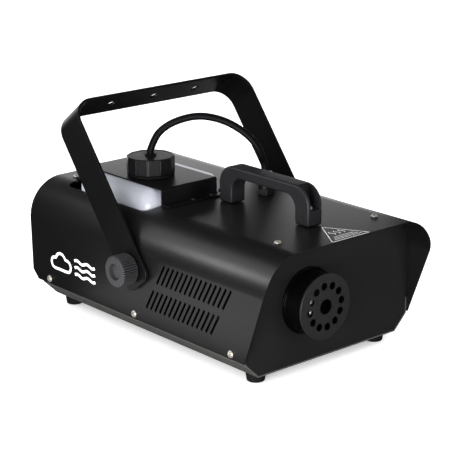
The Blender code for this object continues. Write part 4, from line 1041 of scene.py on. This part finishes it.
def fuse_cap():
    """A screwdriver-slotted bayonet cap on its shank."""
    low, high, middle = boxed("fuse_cap")
    outer, shank, face = (high.x - low.x) / 2, 0.0060, high.y - low.y
    neck = face - FUSE_NECK
    corners = [(0.0, face), (outer, face), (outer, neck), (shank, neck), (shank, 0.0), (0.0, 0.0)]
    rounded = fillet(corners, [0, 0.0009, 0.0003, 0, 0.0006, 0], 3)
    made = turned("fuse_cap_body", rounded, (middle.x, low.y, middle.z), "Y", 48)
    slot_low = (middle.x - 0.0050, high.y - 0.0014, middle.z - 0.0008)
    slot_high = (middle.x + 0.0050, high.y + 0.002, middle.z + 0.0008)
    combined(made, [block("slot", slot_low, slot_high)])
    edges_rounded(made, 0.0002, 2, 50)
    finished(made, "fitting_plastic", ["fuse_cap"], "fuse_cap")


CARRIED = (  # material, slot, edge radius, nodes
    ("tray_paint", "tray_paint", 0.0003, ("base_tray",)),
    ("panel_paint", "case_paint", 0.0003, ("front_panel", "rear_panel")),
    ("fitting_plastic", "fitting_plastic", 0.0004, ("power_inlet", "switch_frame")),
    ("rocker_red", "rocker_red", 0.0003, ("power_rocker",)),
    ("bright_steel", "nickel_hardware", 0.0003, ("nut_plate_left", "nut_plate_right")),
    ("aluminium", "heater_aluminium", 0.0005, ("heater_block",)),
    ("insulation", "insulation", 0.0010, ("insulation_jacket",)),
    ("bright_steel", "bright_steel", 0.0003, ("heater_cradle", "thermostat", "pump_bracket")),
    ("pump_coil", "pump_coil", 0.0005, ("pump",)),
    ("board", "board", 0.0002, ("circuit_board",)),
    ("brass", "brass", 0.0, ("nozzle_tube", "pump_tube")),
    ("tube_plastic", "tank_plastic", 0.0, ("pickup_tube", "suction_tube")),
)

cover()
for material_name, slot_name, edge_radius, node_names in CARRIED:
    for node_name in node_names:
        carried(node_name, material_name, edge_radius)
screws()
yoke_strap()
knob("left", -1)
knob("right", 1)
handle()
tank()
tank_plate()
cap()
hose()
gland_and_clamp()
nozzle()
side_pictogram()
top_pictogram()
feet()
inlet_pins()
remote_socket()
fuse_cap()


# ---- Studio ----
SUN_POWER = 4.6
SUN_SPREAD = radians(150)
SOFTBOXES = (  # name, place, target, width and height, power in watts
    ("left_card", (-0.62, -0.42, 0.10), (-0.12, -0.12, 0.06), (0.35, 0.25), 6.0),
    ("low_left_card", (-0.30, 0.03, 0.004), (-0.30, 0.03, 1.0), (0.26, 0.30), 0.25),
    ("front_card", (0.35, -1.00, 0.18), (0.0, -0.17, 0.08), (0.50, 0.30), 0.8),
    ("rear_card", (0.22, 0.46, 0.15), (-0.11, 0.075, 0.15), (0.75, 0.30), 1.2),
    ("left_sky", (-0.40, 0.42, 0.62), (-0.10, -0.05, 0.13), (0.35, 0.30), 0.6),
    ("shoulder_card", (-0.40, 0.20, 0.32), (-0.105, -0.18, 0.12), (0.10, 0.10), 0.5),
)
FLOOR_HALF_WIDTH = 20.0
FLOOR_DROP = 0.0002
WALL_TOWARD = (0.65, 0.76, 0.0)
WALL_GLOW = 0.20
ROOM_GLOW = 0.02
FLOOR_GLOW = 0.45
CAMERA_AZIMUTH = radians(-40.69)
CAMERA_ELEVATION = radians(16.95)
CAMERA_ROLL = radians(-0.44)
CAMERA_DISTANCE = 1.72965
CAMERA_TARGET = Vector((0.00202, -0.00506, 0.11087))
CAMERA_LENS = 125.04


def studio_floor():
    """A white floor with a faint light of its own, which the gloss doesn't mirror."""
    material, _, _, shader = new_material("studio_floor")
    shader.inputs["Base Color"].default_value = (0.97, 0.97, 0.97, 1.0)
    shader.inputs["Roughness"].default_value = 0.85
    shader.inputs["Specular IOR Level"].default_value = 0.1
    shader.inputs["Emission Color"].default_value = (1.0, 1.0, 1.0, 1.0)
    shader.inputs["Emission Strength"].default_value = 0.35
    bm = bmesh.new()
    bmesh.ops.create_grid(bm, x_segments=1, y_segments=1, size=FLOOR_HALF_WIDTH)
    made = object_from("studio_floor", bm)
    made.location.z = -FLOOR_DROP
    made.visible_glossy = False
    made.data.materials.append(material)


def add_light(name, kind, at, target, power):
    light = bpy.data.lights.new(name, kind)
    light.energy = power
    made = bpy.data.objects.new(name, light)
    made.location = at
    made.rotation_mode = "QUATERNION"
    made.rotation_quaternion = (Vector(target) - Vector(at)).to_track_quat("-Z", "Y")
    bpy.context.scene.collection.objects.link(made)
    return made


def softbox(name, at, target, size, power):
    made = add_light(name, "AREA", at, target, power)
    made.data.shape = "RECTANGLE"
    made.data.size, made.data.size_y = size
    made.visible_camera = False
    return made


def wide_overhead(power):
    """The even light of a whole ceiling, which casts soft shadows and leaves no highlight."""
    made = add_light("ceiling", "SUN", (0.0, 0.0, 3.0), (0.0, 0.0, 0.0), power)
    made.data.angle = SUN_SPREAD
    made.visible_glossy = False


def studio_world():
    """A dark room with a pale wall low down behind the machine, to the right."""
    world = bpy.data.worlds.new("studio")
    bpy.context.scene.world = world
    world.use_nodes = True
    nodes, links = world.node_tree.nodes, world.node_tree.links
    place = nodes.new("ShaderNodeTexCoord")
    split = nodes.new("ShaderNodeSeparateXYZ")
    links.new(place.outputs["Generated"], split.inputs["Vector"])
    toward = nodes.new("ShaderNodeVectorMath")
    toward.operation = "DOT_PRODUCT"
    toward.inputs[1].default_value = WALL_TOWARD
    links.new(place.outputs["Generated"], toward.inputs[0])

    def band(source, start, end, low, high):
        spread = nodes.new("ShaderNodeMapRange")
        spread.interpolation_type = "SMOOTHSTEP"
        spread.inputs["From Min"].default_value = start
        spread.inputs["From Max"].default_value = end
        spread.inputs["To Min"].default_value = low
        spread.inputs["To Max"].default_value = high
        links.new(source, spread.inputs["Value"])
        return spread.outputs["Result"]

    wall = nodes.new("ShaderNodeMath")
    wall.operation = "MULTIPLY"
    links.new(band(split.outputs["Z"], 0.10, 0.42, 1.0, 0.0), wall.inputs[0])
    links.new(band(toward.outputs["Value"], 0.30, 0.95, 0.0, WALL_GLOW), wall.inputs[1])
    room = nodes.new("ShaderNodeMath")
    room.operation = "ADD"
    links.new(band(split.outputs["Z"], -0.45, -0.75, ROOM_GLOW, FLOOR_GLOW), room.inputs[1])
    links.new(wall.outputs["Value"], room.inputs[0])
    links.new(room.outputs["Value"], nodes["Background"].inputs["Strength"])


def studio_camera():
    data = bpy.data.cameras.new("camera")
    data.sensor_width = 36.0
    data.lens = CAMERA_LENS
    data.clip_start, data.clip_end = 0.05, 60.0
    made = bpy.data.objects.new("camera", data)
    level, rise = cos(CAMERA_ELEVATION), sin(CAMERA_ELEVATION)
    back = Vector((sin(CAMERA_AZIMUTH) * level, -cos(CAMERA_AZIMUTH) * level, rise))
    made.location = CAMERA_TARGET + back * CAMERA_DISTANCE
    made.rotation_mode = "QUATERNION"
    turned_to = (-back).to_track_quat("-Z", "Y").to_matrix() @ Matrix.Rotation(CAMERA_ROLL, 3, "Z")
    made.rotation_quaternion = turned_to.to_quaternion()
    bpy.context.scene.collection.objects.link(made)
    bpy.context.scene.camera = made


studio_floor()
studio_world()
wide_overhead(SUN_POWER)
for softbox_facts in SOFTBOXES:
    softbox(*softbox_facts)
studio_camera()
bpy.context.scene.view_settings.view_transform = "Standard"
